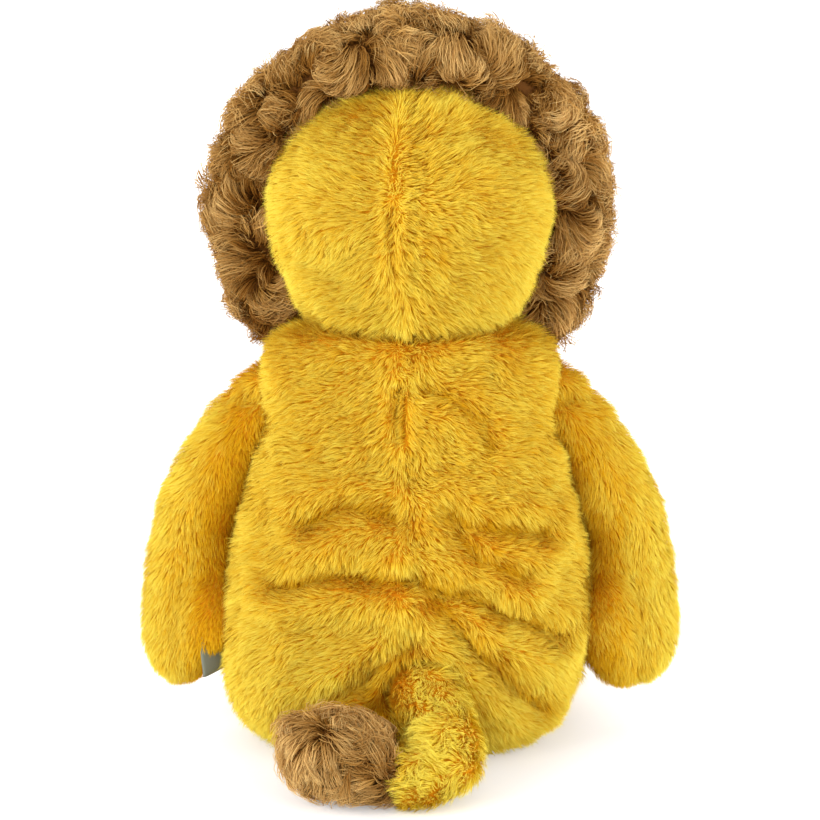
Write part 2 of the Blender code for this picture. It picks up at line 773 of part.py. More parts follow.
def mane_rings(grow):
    """Sections of the mane round the face: it swells into locks, and runs forward under the chin."""
    rings = []
    count = MANE_LOCKS * MANE_STEPS_PER_LOCK
    for step in range(count):
        angle = math.tau * step / count
        height = math.sin(angle)
        low = max(-height, 0) ** MANE_CHIN_POWER
        high = max(height, 0) ** MANE_CROWN_POWER
        outer = MANE_OUTER_RADIUS + (MANE_CHIN_RADIUS - MANE_OUTER_RADIUS) * low
        outer += MANE_LOCK_SWELL * math.cos(MANE_LOCKS * angle)
        forward = MANE_FORWARD + (MANE_CHIN_FORWARD - MANE_FORWARD) * low
        forward += (MANE_CROWN_FORWARD - MANE_FORWARD) * high
        radial = Vector((math.cos(angle), 0, height))
        middle = Vector((0, -forward, mane_height())) + radial * (outer - MANE_HALF_THICKNESS)
        half_out = MANE_HALF_THICKNESS + grow
        half_deep = MANE_HALF_DEPTH + grow
        rings.append(ring(middle, radial, FORWARD, half_out, half_deep, MANE_SECTION_SEGMENTS, MANE_SQUARENESS))
    return rings


def mane_form(name, grow=0.0):
    return make_object(name, skin_rings(mane_rings(grow), closed_loop=True))


def build_mane():
    mane = mane_form("mane")
    combine(mane, head_form("head_cut", SEAM_GAP))
    finish(clear_of_turn(mane), BROWN, 0.95)


def build_ears():
    """Each ear is a flattened pad in front of the mane, with a thin lining on its face."""
    for side, sign in SIDES:
        lean = math.radians(EAR_ANGLE) * sign
        radial = Vector((math.sin(lean), 0, math.cos(lean)))
        centre = Vector((0, 0, mane_height())) + radial * EAR_RADIUS
        centre.y = -MANE_CROWN_FORWARD - MANE_HALF_DEPTH - EAR_HALF_DEPTH / 2
        turn = Quaternion((0, 1, 0), lean)
        sizes = (EAR_HALF_WIDTH, EAR_HALF_DEPTH, EAR_HALF_HEIGHT)
        ear = make_ellipsoid(side + "_ear", centre, sizes, EAR_SEGMENTS, EAR_RINGS, turn)
        combine(ear, head_form("head_cut", SEAM_GAP))
        combine(ear, mane_form("mane_cut", SEAM_GAP))
        front = centre.y - EAR_HALF_DEPTH / 2
        combine(ear, half_space("lining_cut", 1, -1, front))
        lining = make_ellipsoid(side + "_ear_lining", centre, sizes, EAR_SEGMENTS, EAR_RINGS, turn)
        combine(lining, half_space("ear_front", 1, -1, front - SEAM_GAP), "INTERSECT")
        combine(lining, half_space("lining_face", 1, -1, front - SEAM_GAP - EAR_LINING_DEPTH))
        combine(lining, head_form("head_cut", SEAM_GAP))
        finish(ear, YELLOW, 0.95)
        finish(lining, CREAM, 0.95)


def muzzle_centre():
    point, out = face_point(0.0, -MUZZLE_DROP)
    return point - out * MUZZLE_SINK


def muzzle_form(name, grow=0.0):
    sizes = (MUZZLE_HALF_WIDTH + grow, MUZZLE_HALF_DEPTH + grow, MUZZLE_HALF_HEIGHT + grow)
    return make_ellipsoid(name, muzzle_centre(), sizes, MUZZLE_SEGMENTS, MUZZLE_RINGS)


def muzzle_point(across, rise):
    """A point of the muzzle's surface and the way out of it."""
    depth = math.sqrt(1 - (across / MUZZLE_HALF_WIDTH) ** 2 - (rise / MUZZLE_HALF_HEIGHT) ** 2)
    point = muzzle_centre() + Vector((across, -MUZZLE_HALF_DEPTH * depth, rise))
    out = Vector((across / MUZZLE_HALF_WIDTH ** 2, -depth / MUZZLE_HALF_DEPTH, rise / MUZZLE_HALF_HEIGHT ** 2))
    return point, out.normalized()


def build_muzzle():
    muzzle = muzzle_form("muzzle")
    combine(muzzle, head_form("head_cut", SEAM_GAP))
    finish(muzzle, CREAM, 0.95)
    point, out = muzzle_point(0.0, NOSE_RISE)
    sizes = (NOSE_HALF_WIDTH, NOSE_HALF_HEIGHT, NOSE_HALF_DEPTH)
    turn = out.to_track_quat("Z", "X")
    sideways = Quaternion(Vector((0, 0, 1)), math.pi / 2)
    nose = make_ellipsoid("nose", point, sizes, EYE_SEGMENTS, EAR_RINGS, turn @ sideways)
    combine(nose, muzzle_form("muzzle_cut", SEAM_GAP))
    combine(nose, head_form("head_cut", SEAM_GAP))
    finish(nose, DARK, 0.6)


def stitch_line(name, path):
    """A stitched line that lies on the muzzle along points given by their offsets to its middle."""
    places = []
    for across, rise in path:
        point, out = muzzle_point(across, rise)
        places.append((point + out * (SEAM_GAP + STITCH_RADIUS), out))
    rings = []
    for step, (place, out) in enumerate(places):
        ahead = places[min(step + 1, len(places) - 1)][0]
        behind = places[max(step - 1, 0)][0]
        across = (ahead - behind).normalized().cross(out)
        rings.append(ring(place, across, out, STITCH_RADIUS, STITCH_RADIUS, STITCH_SEGMENTS))
    return make_object(name, skin_rings(rings))


def build_mouth():
    """One stitched line down from the nose, which forks into a curve to each side."""
    top = NOSE_RISE - NOSE_HALF_HEIGHT - STITCH_RADIUS
    fork = top - LIP_DROP
    steps = [step / STITCH_STEPS for step in range(STITCH_STEPS + 1)]
    mouth = stitch_line("mouth_stitches", [(0.0, top - (LIP_DROP + STITCH_RADIUS) * step) for step in steps])
    for side, sign in SIDES:
        curve = []
        for step in steps:
            across = sign * (SMILE_SPREAD * step - STITCH_RADIUS * (1 - step))
            curve.append((across, fork - SMILE_SAG * math.sin(math.pi * step * SMILE_TURN_SHARE)))
        combine(mouth, stitch_line(side + "_smile", curve), "UNION", "MANIFOLD")
    finish(mouth, DARK, 0.7)


def eye_place(sign):
    """The frame of an eye: its third axis points out of the face."""
    point, out = face_point(sign * EYE_SPREAD, EYE_RISE)
    return Matrix.Translation(point + out * SEAM_GAP) @ out.to_track_quat("Z", "Y").to_matrix().to_4x4()


def make_eye(name, sign, grow=0.0):
    """A safety eye: a dome on a shank that goes through the face panel."""
    radius = EYE_RADIUS + grow
    shank = EYE_SHANK_RADIUS + grow
    profile = [
        (0, -EYE_SHANK_LENGTH - grow),
        (shank, -EYE_SHANK_LENGTH - grow),
        (shank, -grow),
        (radius, -grow),
        *((radius * width, EYE_DOME_HEIGHT * rise) for width, rise in EYE_DOME_SHARES),
        (0, EYE_DOME_HEIGHT),
    ]
    return turn_profile(name, profile, eye_place(sign), EYE_SEGMENTS)


def make_washer(name, sign, grow=0.0):
    """The disc that locks an eye's shank behind the face panel."""
    face = -HEAD_SKIN - WASHER_SETBACK
    low = face - WASHER_THICKNESS - grow
    high = face + grow
    profile = [(0, low), (WASHER_RADIUS + grow, low), (WASHER_RADIUS + grow, high), (0, high)]
    return turn_profile(name, profile, eye_place(sign), EYE_SEGMENTS)


def build_eyes():
    for side, sign in SIDES:
        finish(make_eye(side + "_eye", sign), DARK, 0.15)
        washer = make_washer(side + "_eye_washer", sign)
        combine(washer, make_eye("shank_hole", sign, SEAM_GAP))
        finish(washer, FIBRE, 0.5)


def finish(obj, colour, roughness):
    """Gives a finished piece its own material, and shades it smooth between its sharp edges."""
    material = bpy.data.materials.new(obj.name + "_finish")
    material.use_nodes = True
    shader = material.node_tree.nodes["Principled BSDF"]
    shader.inputs["Base Color"].default_value = (*colour, 1.0)
    shader.inputs["Roughness"].default_value = roughness
    shader.inputs["Metallic"].default_value = 0.0
    material.diffuse_color = (*colour, 1.0)
    obj.data.materials.clear()
    obj.data.materials.append(material)
    obj.data.shade_smooth()
    obj.data.set_sharp_from_angle(angle=math.radians(SHARP_ANGLE))
    return obj


def neck():
    """The middle of the neck seam, which the head turns about."""
    return Vector((0, 0, TORSO_HEIGHT))


def set_origins():
    """Puts the origin of each piece that moves on the axis of its joint."""
    joints = {"head": neck(), "tail": tail_root()}
    for side, sign in SIDES:
        joints[side + "_arm"] = shoulder(sign)
        joints[side + "_leg"] = hip(sign)
        joints[side + "_sole"] = hip(sign)
        for name in ("ear", "eye"):
            joints[side + "_" + name] = neck()
    for name in ("face_panel", "mane", "muzzle", "nose", "mouth_stitches"):
        joints[name] = neck()
    for obj in bpy.data.objects:
        for start, place in joints.items():
            if obj.name.startswith(start):
                obj.data.transform(Matrix.Translation(-place))
                obj.location = place


def clear_scene():
    for obj in list(bpy.data.objects):
        bpy.data.objects.remove(obj)


clear_scene()
build_torso()
build_label()
build_arms()
build_legs()
build_tail()
build_head()
build_mane()
build_ears()
build_muzzle()
build_mouth()
build_eyes()
set_origins()
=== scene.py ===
"""A sitting plush lion: stuffed skins under a combed yellow pile, a curly brown mane, a tufted tail, a face,
and a bare cloth label in the side seam.

Metres, +Z up. The lion faces -Y, and its own left side is at +X.
"""

import math
from collections import namedtuple

import bmesh
import bpy
import numpy as np
from bpy.props import FloatProperty, FloatVectorProperty, PointerProperty
from bpy.types import Operator, Panel, PropertyGroup
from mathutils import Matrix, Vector
from mathutils.bvhtree import BVHTree
from mathutils.kdtree import KDTree


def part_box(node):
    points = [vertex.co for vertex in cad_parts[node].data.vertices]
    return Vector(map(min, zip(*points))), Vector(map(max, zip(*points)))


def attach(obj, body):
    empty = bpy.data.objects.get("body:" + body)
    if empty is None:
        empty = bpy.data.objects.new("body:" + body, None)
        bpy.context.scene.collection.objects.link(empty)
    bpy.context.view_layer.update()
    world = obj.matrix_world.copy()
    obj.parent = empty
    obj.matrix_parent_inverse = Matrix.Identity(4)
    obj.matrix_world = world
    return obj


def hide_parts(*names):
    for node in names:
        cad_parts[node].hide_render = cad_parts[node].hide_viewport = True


bl_info = {
    "name": "Plush Lion",
    "version": (1, 0, 0),
    "blender": (4, 5, 0),
    "location": "View3D > Sidebar > Plush Lion",
    "description": "Builds a sitting plush lion with a combed pile, a curly mane and a tufted tail",
    "category": "Add Mesh",
}

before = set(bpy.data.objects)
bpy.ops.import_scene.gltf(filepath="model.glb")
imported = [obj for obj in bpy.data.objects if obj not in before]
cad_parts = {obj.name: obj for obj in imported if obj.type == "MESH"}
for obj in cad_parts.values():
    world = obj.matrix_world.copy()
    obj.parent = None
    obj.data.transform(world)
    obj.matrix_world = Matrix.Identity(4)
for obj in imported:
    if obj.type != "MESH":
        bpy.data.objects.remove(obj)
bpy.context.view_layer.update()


def middle(node):
    """The middle of a CAD node's box."""
    low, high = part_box(node)
    return (low + high) / 2


SIDES = ("left", "right")

# Each panel's share of the strands that the torso's back has
TORSO_PANELS = {"back_panel_left": 1.0, "back_panel_right": 1.0, "belly_panel": 0.36, "seat_panel": 0.36}
HEAD_PANELS = {"head_back_left": 1.1, "head_back_right": 1.1, "face_panel": 0.7}

# Places, most of them from the frame
HEAD_MIDDLE = np.array((0.0, -0.004, 0.2335))
TORSO_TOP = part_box("back_panel_left")[1].z
TUFT_LOW, TUFT_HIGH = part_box("tail_tuft")
TUFT_SIZE = TUFT_HIGH - TUFT_LOW
SEAT_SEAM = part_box("seat_panel")[1].z
FACE_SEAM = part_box("face_panel")[1].y
MANE_MIDDLE = middle("mane").y
EYE_CLEAR = (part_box("left_eye")[1].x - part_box("left_eye")[0].x) / 2 + 0.0016

# Sewn panels and the fibre under them: thickness, how far each is set in, and mesh sizes; a seam's depth, its
# width and how far it holds the cloth; where the back fades in; and the least height above the floor
PANEL_THICKNESS = 0.0015
PANEL_INSET = 0.0013
SEAM_FURROW = 0.0010
SEAM_WIDTH = 0.0022
SEAM_HOLD = 0.0030
BACK_BLEND = 0.02
FIBRE_INSET = 0.0030
FIBRE_MESH = 0.0035
PANEL_MESH = 0.0030
FLOOR_GAP = 0.0002

# Where a skin is bare: how near another solid has to be, how far off the skin the search for it starts, and
# how low a strand may be rooted
BARE_REACH = 0.0008
LOOK_START = 0.0001
LOWEST_ROOT = 0.0008

# The stuffing's cloth simulation
STUFFING_STEPS = 15
STUFFING_PRESSURE = 4.0

# The label: its shares of the solid's size, how high its foot is and how far its free end droops, its wave,
# half the gap between its layers, and its cloth's thickness
LABEL_REACH_SHARE = 1.14
LABEL_HEIGHT_SHARE = 0.76
LABEL_FOOT = 0.0058
LABEL_DROOP = 0.0036
LABEL_WAVE = 0.0007
LABEL_HALF_GAP = 0.0006
LABEL_THICKNESS = 0.0004

# Where a change of form, or of painted shade and light, sets in, in metres, and over what distance, which is
# below zero where it grows as the value falls
TORSO_RIM = (TORSO_TOP - 0.014, 0.008)
TORSO_FOOT = (0.085, -0.085)
TORSO_BACK = (-0.040, 0.040)
TORSO_LOW = (0.085, -0.050)
FACE_FRONT = (0.0, -0.030)
ARM_TOP = (0.110, 0.035)
ARM_CORNER_UP = (0.146, 0.018)
ARM_CORNER_OUT = (0.056, 0.012)
ARM_BELOW_SHOULDER = (0.170, -0.025)
MANE_TOP = (0.275, 0.035)
MANE_LOW = (HEAD_MIDDLE[2] - 0.025, -0.035)
BESIDE_NECK = (0.025, 0.025)
TAIL_BEND = (0.066, 0.020)
TAIL_BY_TUFT = (-0.002, 0.006)
TAIL_RAISED = (0.012, 0.008)

# How far forms are pushed out, drawn in or moved, in metres; the mane's taper and the tuft's slant are shares
RIM_SWELL = 0.0020
FOOT_LEAN = 0.0052
ARM_SLIM = 0.0042
ARM_TOP_FULL = 0.0060
ARM_CORNER = 0.0058
MANE_SAG = 0.0062
MANE_TAPER = 0.11
TUFT_SLANT = 0.34
TUFT_FOOT = 0.027

# Swellings: the height of the middle, how far it reaches up and down, and how far it stands out
Swelling = namedtuple("Swelling", "height reach depth")
SHOULDER = Swelling(0.165, 0.013, 0.0055)
NAPE = Swelling(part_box("face_panel")[0].z + 0.006, 0.009, 0.0030)
PAW = Swelling(0.052, 0.020, 0.0150)
PAW_REACH_BELOW = {"left": 0.016, "right": 0.026}
TAIL_SWELL = Swelling(0.016, 0.013, 0.0055)

# The inner and the outer edge of an arm above its widest place: where they are there, and how they draw in;
# and on each side how deep the painted shade on the arm's inner side is
ARM_WIDEST = 0.064
ARM_INNER, ARM_INNER_SLOPE = 0.0785, -0.165
ARM_OUTER, ARM_OUTER_CURVE = 0.1160, -4.2
ARM_PAINTED_SHADE = {"left": 0.72, "right": 0.34}

# The stage
WHITE = (1.0, 1.0, 1.0)
BACKDROP_RAYS = ("Is Camera Ray", "Is Glossy Ray", "Is Transmission Ray")
FLOOR_SIZE = 12
FLOOR_GLOW = 0.32
LAMP_AIM = Vector((0, 0, 0.13))
CAMERA_SENSOR = 36.0
CAMERA_LENS = 155.4

# Creases behind, as points (side, height) in metres, with a depth and a width each
TORSO_CREASES = (
    (((0.043, 0.108), (0.024, 0.116), (0.006, 0.114)), 0.0042, 0.0042),
    (((-0.014, 0.114), (-0.032, 0.107), (-0.054, 0.101)), 0.0046, 0.0044),
    (((0.054, 0.079), (0.030, 0.088), (0.002, 0.087)), 0.0056, 0.0046),
    (((-0.004, 0.087), (-0.028, 0.077), (-0.062, 0.056)), 0.0062, 0.0050),
    (((-0.008, 0.078), (-0.034, 0.050), (-0.056, 0.024)), 0.0050, 0.0050),
    (((0.000, 0.060), (0.024, 0.036), (0.046, 0.024)), 0.0034, 0.0048),
    (((-0.018, 0.105), (-0.030, 0.094), (-0.046, 0.086)), 0.0034, 0.0040),
    (((0.005, 0.167), (0.005, 0.145)), 0.0038, 0.0020),
    (((0.014, 0.046), (0.011, 0.024)), 0.0030, 0.0055),
    (((-0.004, 0.166), (-0.028, 0.153), (-0.032, 0.140)), 0.0024, 0.0036),
)
HEAD_CREASES = (
    (((0.0072, 0.243), (0.0066, 0.215)), 0.0022, 0.0014),
    (((-0.004, 0.278), (-0.003, 0.250)), 0.0010, 0.0020),
)


# Shader writing

class Value:
    """An output in a node tree; Python arithmetic on it adds Math nodes."""

    def __init__(self, nodes, socket):
        self.nodes = nodes
        self.socket = socket

    def work(self, operation, other, **settings):
        return self.nodes.node("ShaderNodeMath", {"operation": operation, **settings}, {0: self, 1: other})

    def __add__(self, other):
        return self.work("ADD", other)

    def __mul__(self, other):
        return self.work("MULTIPLY", other)

    def clipped(self):
        return self.work("ADD", 0.0, use_clamp=True)


class Nodes:
    """A node tree while its nodes are laid out."""

    def __init__(self, owner):
        owner.use_nodes = True
        self.tree = owner.node_tree

    def feed(self, socket, value):
        if isinstance(value, Value):
            self.tree.links.new(value.socket, socket)
        elif hasattr(socket.default_value, "__len__") and len(value) == 3 and len(socket.default_value) == 4:
            socket.default_value = (*value, 1.0)
        else:
            socket.default_value = value

    def node(self, kind, settings=None, values=None, out=0):
        """Adds a node: its settings first, then the values or links of its sockets; gives one output."""
        made = self.tree.nodes.new(kind)
        for name, value in (settings or {}).items():
            if name == "stops":
                self.set_stops(made.color_ramp, value)
            else:
                setattr(made, name, value)
        for socket, value in (values or {}).items():
            self.feed(made.inputs[socket], value)
        return Value(self, made.outputs[out])

    def set_stops(self, ramp, stops):
        while len(ramp.elements) < len(stops):
            ramp.elements.new(0.5)
        for element, (place, colour) in zip(ramp.elements, stops):
            element.position = place
            element.color = (*colour, 1.0)

    def backdrop_rays(self):
        """Above zero for the rays that the white backdrop is kept white for."""
        seen = [self.node("ShaderNodeLightPath", out=ray) for ray in BACKDROP_RAYS]
        return seen[0] + seen[1] + seen[2]


class Paint(Nodes):
    """A material while its nodes are laid out."""

    def __init__(self, name, **settings):
        self.material = bpy.data.materials.new(name)
        super().__init__(self.material)
        self.shader = self.tree.nodes["Principled BSDF"]
        for socket, value in settings.items():
            self.set(socket.replace("_", " "), value)

    def set(self, socket, value):
        self.feed(self.shader.inputs[socket], value)

    def ramp(self, factor, *stops):
        return self.node("ShaderNodeValToRGB", {"stops": stops}, {"Fac": factor})

    def mix(self, factor, first, second):
        return self.node("ShaderNodeMix", {"data_type": "RGBA"}, {0: factor, 6: first, 7: second}, out=2)

    def place(self):
        return self.node("ShaderNodeTexCoord", out=3)

    def noise(self, scale, detail=2.0):
        values = {"Vector": self.place(), "Scale": scale, "Detail": detail}
        return self.node("ShaderNodeTexNoise", None, values)

    def wave(self, direction, at, scale):
        return self.node("ShaderNodeTexWave", {"bands_direction": direction}, {"Vector": at, "Scale": scale})

    def bump(self, height, strength, distance):
        values = {"Strength": strength, "Distance": distance, "Height": height}
        self.set("Normal", self.node("ShaderNodeBump", None, values))

    def grained(self, grain, dark, light, strength, distance):
        """Colours a texture from dark to light and raises it; gives the material."""
        self.set("Base Color", self.mix(grain, dark, light))
        self.bump(grain, strength, distance)
        return self.material


def pile_paint(name, colours):
    """Strands: a strand's tone lies across its UV map, and the way from its root to its tip lies up it."""
    root, deep, body, light = colours
    paint = Paint(name, Roughness=0.75, Specular_IOR_Level=0.03)
    uv = paint.node("ShaderNodeUVMap", {"uv_map": "OFBake"})
    tone, along = (paint.node("ShaderNodeSeparateXYZ", None, {0: uv}, out=axis) for axis in (0, 1))
    dusk = tuple((a + b) / 2 for a, b in zip(deep, body))
    # The colour grows darker and redder towards the root: painted shade deep in the pile. Low-toned strands,
    # among them those that carry painted shade, stay deeper to their tips.
    low = paint.ramp(along, (0.0, root), (0.36, deep), (0.95, dusk))
    high = paint.ramp(along, (0.0, deep), (0.20, body), (1.0, light))
    paint.set("Base Color", paint.mix(tone, low, high))
    return paint.material


def backing_paint(name, dark, light):
    """The knitted backing that the pile is rooted in."""
    paint = Paint(name, Roughness=0.9, Specular_IOR_Level=0.2)
    weave = paint.noise(scale=900.0, detail=3.0)
    patches = paint.noise(scale=60.0)
    paint.set("Base Color", paint.mix((weave * 0.5 + patches * 0.5).clipped(), dark, light))
    paint.bump(weave, strength=0.5, distance=0.0004)
    return paint.material


def fibre_paint(name):
    """White polyester fibre filling."""
    paint = Paint(name, Roughness=0.95, Specular_IOR_Level=0.15)
    tangle = paint.noise(scale=350.0, detail=6.0)
    return paint.grained(tangle, (0.74, 0.74, 0.71), (0.92, 0.92, 0.90), strength=0.8, distance=0.0015)


def cloth_paint(name, dark, light, threads):
    """A plain woven cloth."""
    paint = Paint(name, Roughness=0.85, Specular_IOR_Level=0.2)
    at = paint.place()
    weave = (paint.wave("Z", at, threads) + paint.wave("X", at, threads)) * 0.5
    return paint.grained(weave, dark, light, strength=0.5, distance=0.0003)


def eye_paint(name):
    paint = Paint(name, Base_Color=(0.005, 0.004, 0.003), Specular_IOR_Level=0.06)
    paint.set("Roughness", paint.noise(scale=220.0) * 0.08 + 0.06)
    return paint.material


def thread_paint(name, dark, light):
    """Twisted thread: strands that wind round the stitches."""
    paint = Paint(name, Roughness=0.55, Specular_IOR_Level=0.35)
    at = paint.node("ShaderNodeMapping", None, {"Vector": paint.place(), "Rotation": (0.0, 0.6, 0.0)})
    return paint.grained(paint.wave("DIAGONAL", at, 700.0), dark, light, strength=0.6, distance=0.0002)


def washer_paint():
    paint = Paint("washer_plastic", Specular_IOR_Level=0.4)
    grain = paint.noise(scale=500.0)
    paint.set("Base Color", paint.mix(grain, (0.76, 0.76, 0.73), (0.86, 0.86, 0.84)))
    paint.set("Roughness", grain * 0.15 + 0.45)
    return paint.material


# Modelling

def deselect():
    for obj in list(bpy.context.selected_objects):
        obj.select_set(False)


def pick(obj):
    """Makes one object the only selected and the active one."""
    deselect()
    obj.select_set(True)
    bpy.context.view_layer.objects.active = obj
    return obj


def add_object(name, mesh):
    piece = bpy.data.objects.new(name, mesh)
    bpy.context.scene.collection.objects.link(piece)
    return piece


def apply_modifier(obj, kind, **settings):
    pick(obj)
    modifier = obj.modifiers.new(kind.lower(), kind)
    for name, value in settings.items():
        setattr(modifier, name, value)
    bpy.ops.object.modifier_apply(modifier=modifier.name)


def edit_all(piece, operator, **settings):
    """Runs one operator of edit mode on the whole of a piece."""
    pick(piece)
    bpy.ops.object.mode_set(mode="EDIT")
    bpy.ops.mesh.select_all(action="SELECT")
    operator(**settings)
    bpy.ops.object.mode_set(mode="OBJECT")


def copied_node(node, name):
    """A merged copy of a CAD node's mesh."""
    piece = add_object(name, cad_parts[node].data.copy())
    piece.data.materials.clear()
    edit_all(piece, bpy.ops.mesh.remove_doubles, threshold=0.00001)
    return piece


def rows(items, name, kind=float):
    """A triple that all of some mesh items have, as rows."""
    values = np.empty(len(items) * 3, dtype=kind)
    items.foreach_get(name, values)
    return values.reshape(-1, 3)


def corners(piece):
    return rows(piece.data.vertices, "co")


def corner_normals(piece):
    return rows(piece.data.vertex_normals, "vector")


def move_corners(piece, places):
    piece.data.vertices.foreach_set("co", np.ascontiguousarray(places).ravel())
    piece.data.update()


def above(places, height):
    """Raises the places that are below a least height to it."""
    places[..., 2] = np.maximum(places[..., 2], height)
    return places


def solids_tree(left_out):
    """All CAD solids but some, as one tree that rays can be cast at."""
    points, faces = [], []
    for name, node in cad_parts.items():
        if name in left_out:
            continue
        start = len(points)
        points.extend(v.co for v in node.data.vertices)
        faces.extend([start + i for i in p.vertices] for p in node.data.polygons)
    return BVHTree.FromPolygons(points, faces)


def rounded_form(nodes, name, mesh_size, hollow=False):
    """One closed form round some CAD solids, with the facets and the gaps between them smoothed over."""
    copies = [copied_node(node, name) for node in nodes]
    piece = pick(copies[0])
    for other in copies[1:]:
        other.select_set(True)
    if len(copies) > 1:
        bpy.ops.object.join()
    piece.name = name
    apply_modifier(piece, "REMESH", mode="VOXEL", voxel_size=mesh_size)
    if not hollow:
        keep_largest(piece)
    apply_modifier(piece, "SMOOTH", factor=0.5, iterations=6)
    return piece


def smooth_copy(node, name, levels=2):
    """A CAD node's form with its facets rounded off."""
    piece = copied_node(node, name)
    edit_all(piece, bpy.ops.mesh.tris_convert_to_quads)
    apply_modifier(piece, "SUBSURF", levels=levels, render_levels=levels)
    return piece


def keep_largest(piece):
    """Leaves only the outermost of a mesh's separate shells."""
    mesh = bmesh.new()
    mesh.from_mesh(piece.data)
    left, outer = set(mesh.verts), set()
    while left:
        shell, edge = set(), {next(iter(left))}
        while edge:
            shell |= edge
            edge = {link.other_vert(corner) for corner in edge for link in corner.link_edges} - shell
        left -= shell
        outer = max(outer, shell, key=len)
    bmesh.ops.delete(mesh, geom=[corner for corner in mesh.verts if corner not in outer], context="VERTS")
    mesh.to_mesh(piece.data)
    mesh.free()


def stuff(piece, held, limit):
    """Swells a closed form with a short cloth simulation whose held corners stay put, up to a limit."""
    before = corners(piece)
    group = piece.vertex_groups.new(name="held")
    group.add(np.flatnonzero(held).tolist(), 1.0, "REPLACE")
    pick(piece)
    modifier = piece.modifiers.new("stuffing", "CLOTH")
    settings = modifier.settings
    settings.use_pressure = True
    settings.uniform_pressure_force = STUFFING_PRESSURE
    settings.effector_weights.gravity = 0.0
    settings.vertex_group_mass = group.name
    for step in range(1, STUFFING_STEPS + 1):
        bpy.context.scene.frame_set(step)
    bpy.ops.object.modifier_apply(modifier=modifier.name)
    bpy.context.scene.frame_set(1)
    moved = corners(piece) - before
    far = np.linalg.norm(moved, axis=1, keepdims=True)
    move_corners(piece, before + moved * np.minimum(limit / np.maximum(far, TINY), 1.0))
    piece.vertex_groups.clear()


def press(piece, inset, folds=None):
    """Sets a form in by the depth of its pile, and presses its creases in."""
    places = corners(piece)
    normals = corner_normals(piece)
    moved = np.full(len(places), -inset)
    if folds:
        moved = moved + folds(places, normals)
    move_corners(piece, above(places + normals * moved[:, None], FLOOR_GAP))


def dress(piece, node, body, paint):
    """Makes a piece stand for its CAD node."""
    pick(piece)
    bpy.ops.object.shade_smooth()
    piece.data.materials.append(paint)
    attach(piece, body)
    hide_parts(node)
    return piece


def fibre_filling(node, body, folds):
    """The fibre inside a skin, with the skin's creases pressed in."""
    piece = rounded_form((node,), node + "_fibre", FIBRE_MESH, hollow=True)
    press(piece, FIBRE_INSET, folds)
    dress(piece, node, body, shared_paint("fibre_filling", fibre_paint))


# How a stuffed skin is made: its mesh size, how far it is set in under its pile, how full it is, and how near
# another solid has to be for the skin to stay bare there
Form = namedtuple("Form", "mesh_size inset fill reach", defaults=(BARE_REACH,))


def stuffed_skin(node, form, body, coat, inside=(), folds=None):
    """The sewn skin of a stuffed piece that is one closed form."""
    piece = rounded_form((node, *inside), node + "_skin", form.mesh_size)
    press(piece, form.inset, folds)
    return dress(piece, node, body, coat.backing)


def furred(node, form, body, coat, pile, comb, seed, shade=None, inside=(), near=(), folds=None):
    """A stuffed skin and its pile; what is inside it and the named pieces near it don't keep it bare."""
    skin = stuffed_skin(node, form, body, coat, inside, folds)
    ground = Ground(skin, (node, *inside, *near), form.reach)
    grow_pile(node + "_pile", ground, pile, comb, coat, body, seed, shade)


def cut_panels(form, panels, panel_at, body, counts):
    """Cuts a stuffed form along its seams into shells with no gap between them; gives the outside of each."""
    owners = panel_at(rows(form.data.polygons, "center"))
    grounds = {}
    for node, share in panels.items():
        piece = add_object(node + "_skin", form.data.copy())
        mesh = bmesh.new()
        mesh.from_mesh(piece.data)
        mesh.faces.ensure_lookup_table()
        others = [mesh.faces[number] for number in np.flatnonzero(owners != node)]
        bmesh.ops.delete(mesh, geom=others, context="FACES")
        mesh.to_mesh(piece.data)
        mesh.free()
        grounds[node] = Ground(piece, tuple(panels), counts=counts)
        apply_modifier(piece, "SOLIDIFY", thickness=PANEL_THICKNESS, offset=-1.0)
        move_corners(piece, above(corners(piece), FLOOR_GAP))
        coat = fur_coat("yellow", pale=share < 1)
        dress(piece, node, body, coat.backing)
    bpy.data.objects.remove(form)
    return grounds


def sewn_part(
    body, panels, inside, held, limit, folds, panel_at, comb, seed, shade, settle=None, counts=None,
):
    """The torso or the head: one form, swelled and creased, cut into panels, with its pile and its fibre."""
    form = rounded_form((*panels, *inside), body + "_form", PANEL_MESH)
    stuff(form, held(corners(form)), limit)
    press(form, PANEL_INSET, folds)
    if settle:
        settle(form)
    grounds = cut_panels(form, panels, panel_at, body, counts)
    for number, (node, share) in enumerate(panels.items()):
        pile = yellow_pile(sizes().body_pile, share)
        grow_pile(node + "_pile", grounds[node], pile, comb, fur_coat("yellow"), body, seed + number, shade)
    fibre_filling(body + "_filling", body, folds)


# Numbers and vectors, an array of them at a time

TINY = 1e-9


def unit(vectors):
    return vectors / np.maximum(np.linalg.norm(vectors, axis=-1, keepdims=True), TINY)


def columns(x, y, z):
    """Vectors from their three parts, each an array or a number."""
    return np.stack(np.broadcast_arrays(x, y, z), axis=1)


def grade(value, start, width):
    """Goes from 0 to 1 over a width, which is below zero where the value has to fall."""
    return np.clip((value - start) / width, 0, 1)


def hill(value, top, width):
    """Is 1 at the top and falls away on both sides."""
    return np.exp(-((value - top) / width) ** 2)


def swelling(heights, kind):
    return kind.depth * hill(heights, kind.height, kind.reach)


def by_side(points, values):
    """The value of the side that each point is on."""
    return np.where(points[:, 0] > 0, values["left"], values["right"])


def away_from(centre, points, back=0.0):
    """The way to points from a place, seen from behind, and a little back."""
    x, y, z = (points - centre).T
    return unit(columns(x, back, z))


def turned(first, second, angle):
    """Vectors turned from the first towards the second, which stands square to it."""
    return first * np.cos(angle)[:, None] + second * np.sin(angle)[:, None]


def level_with(vectors, normals):
    """Vectors laid flat on the surface."""
    return vectors - normals * (vectors * normals).sum(axis=1, keepdims=True)


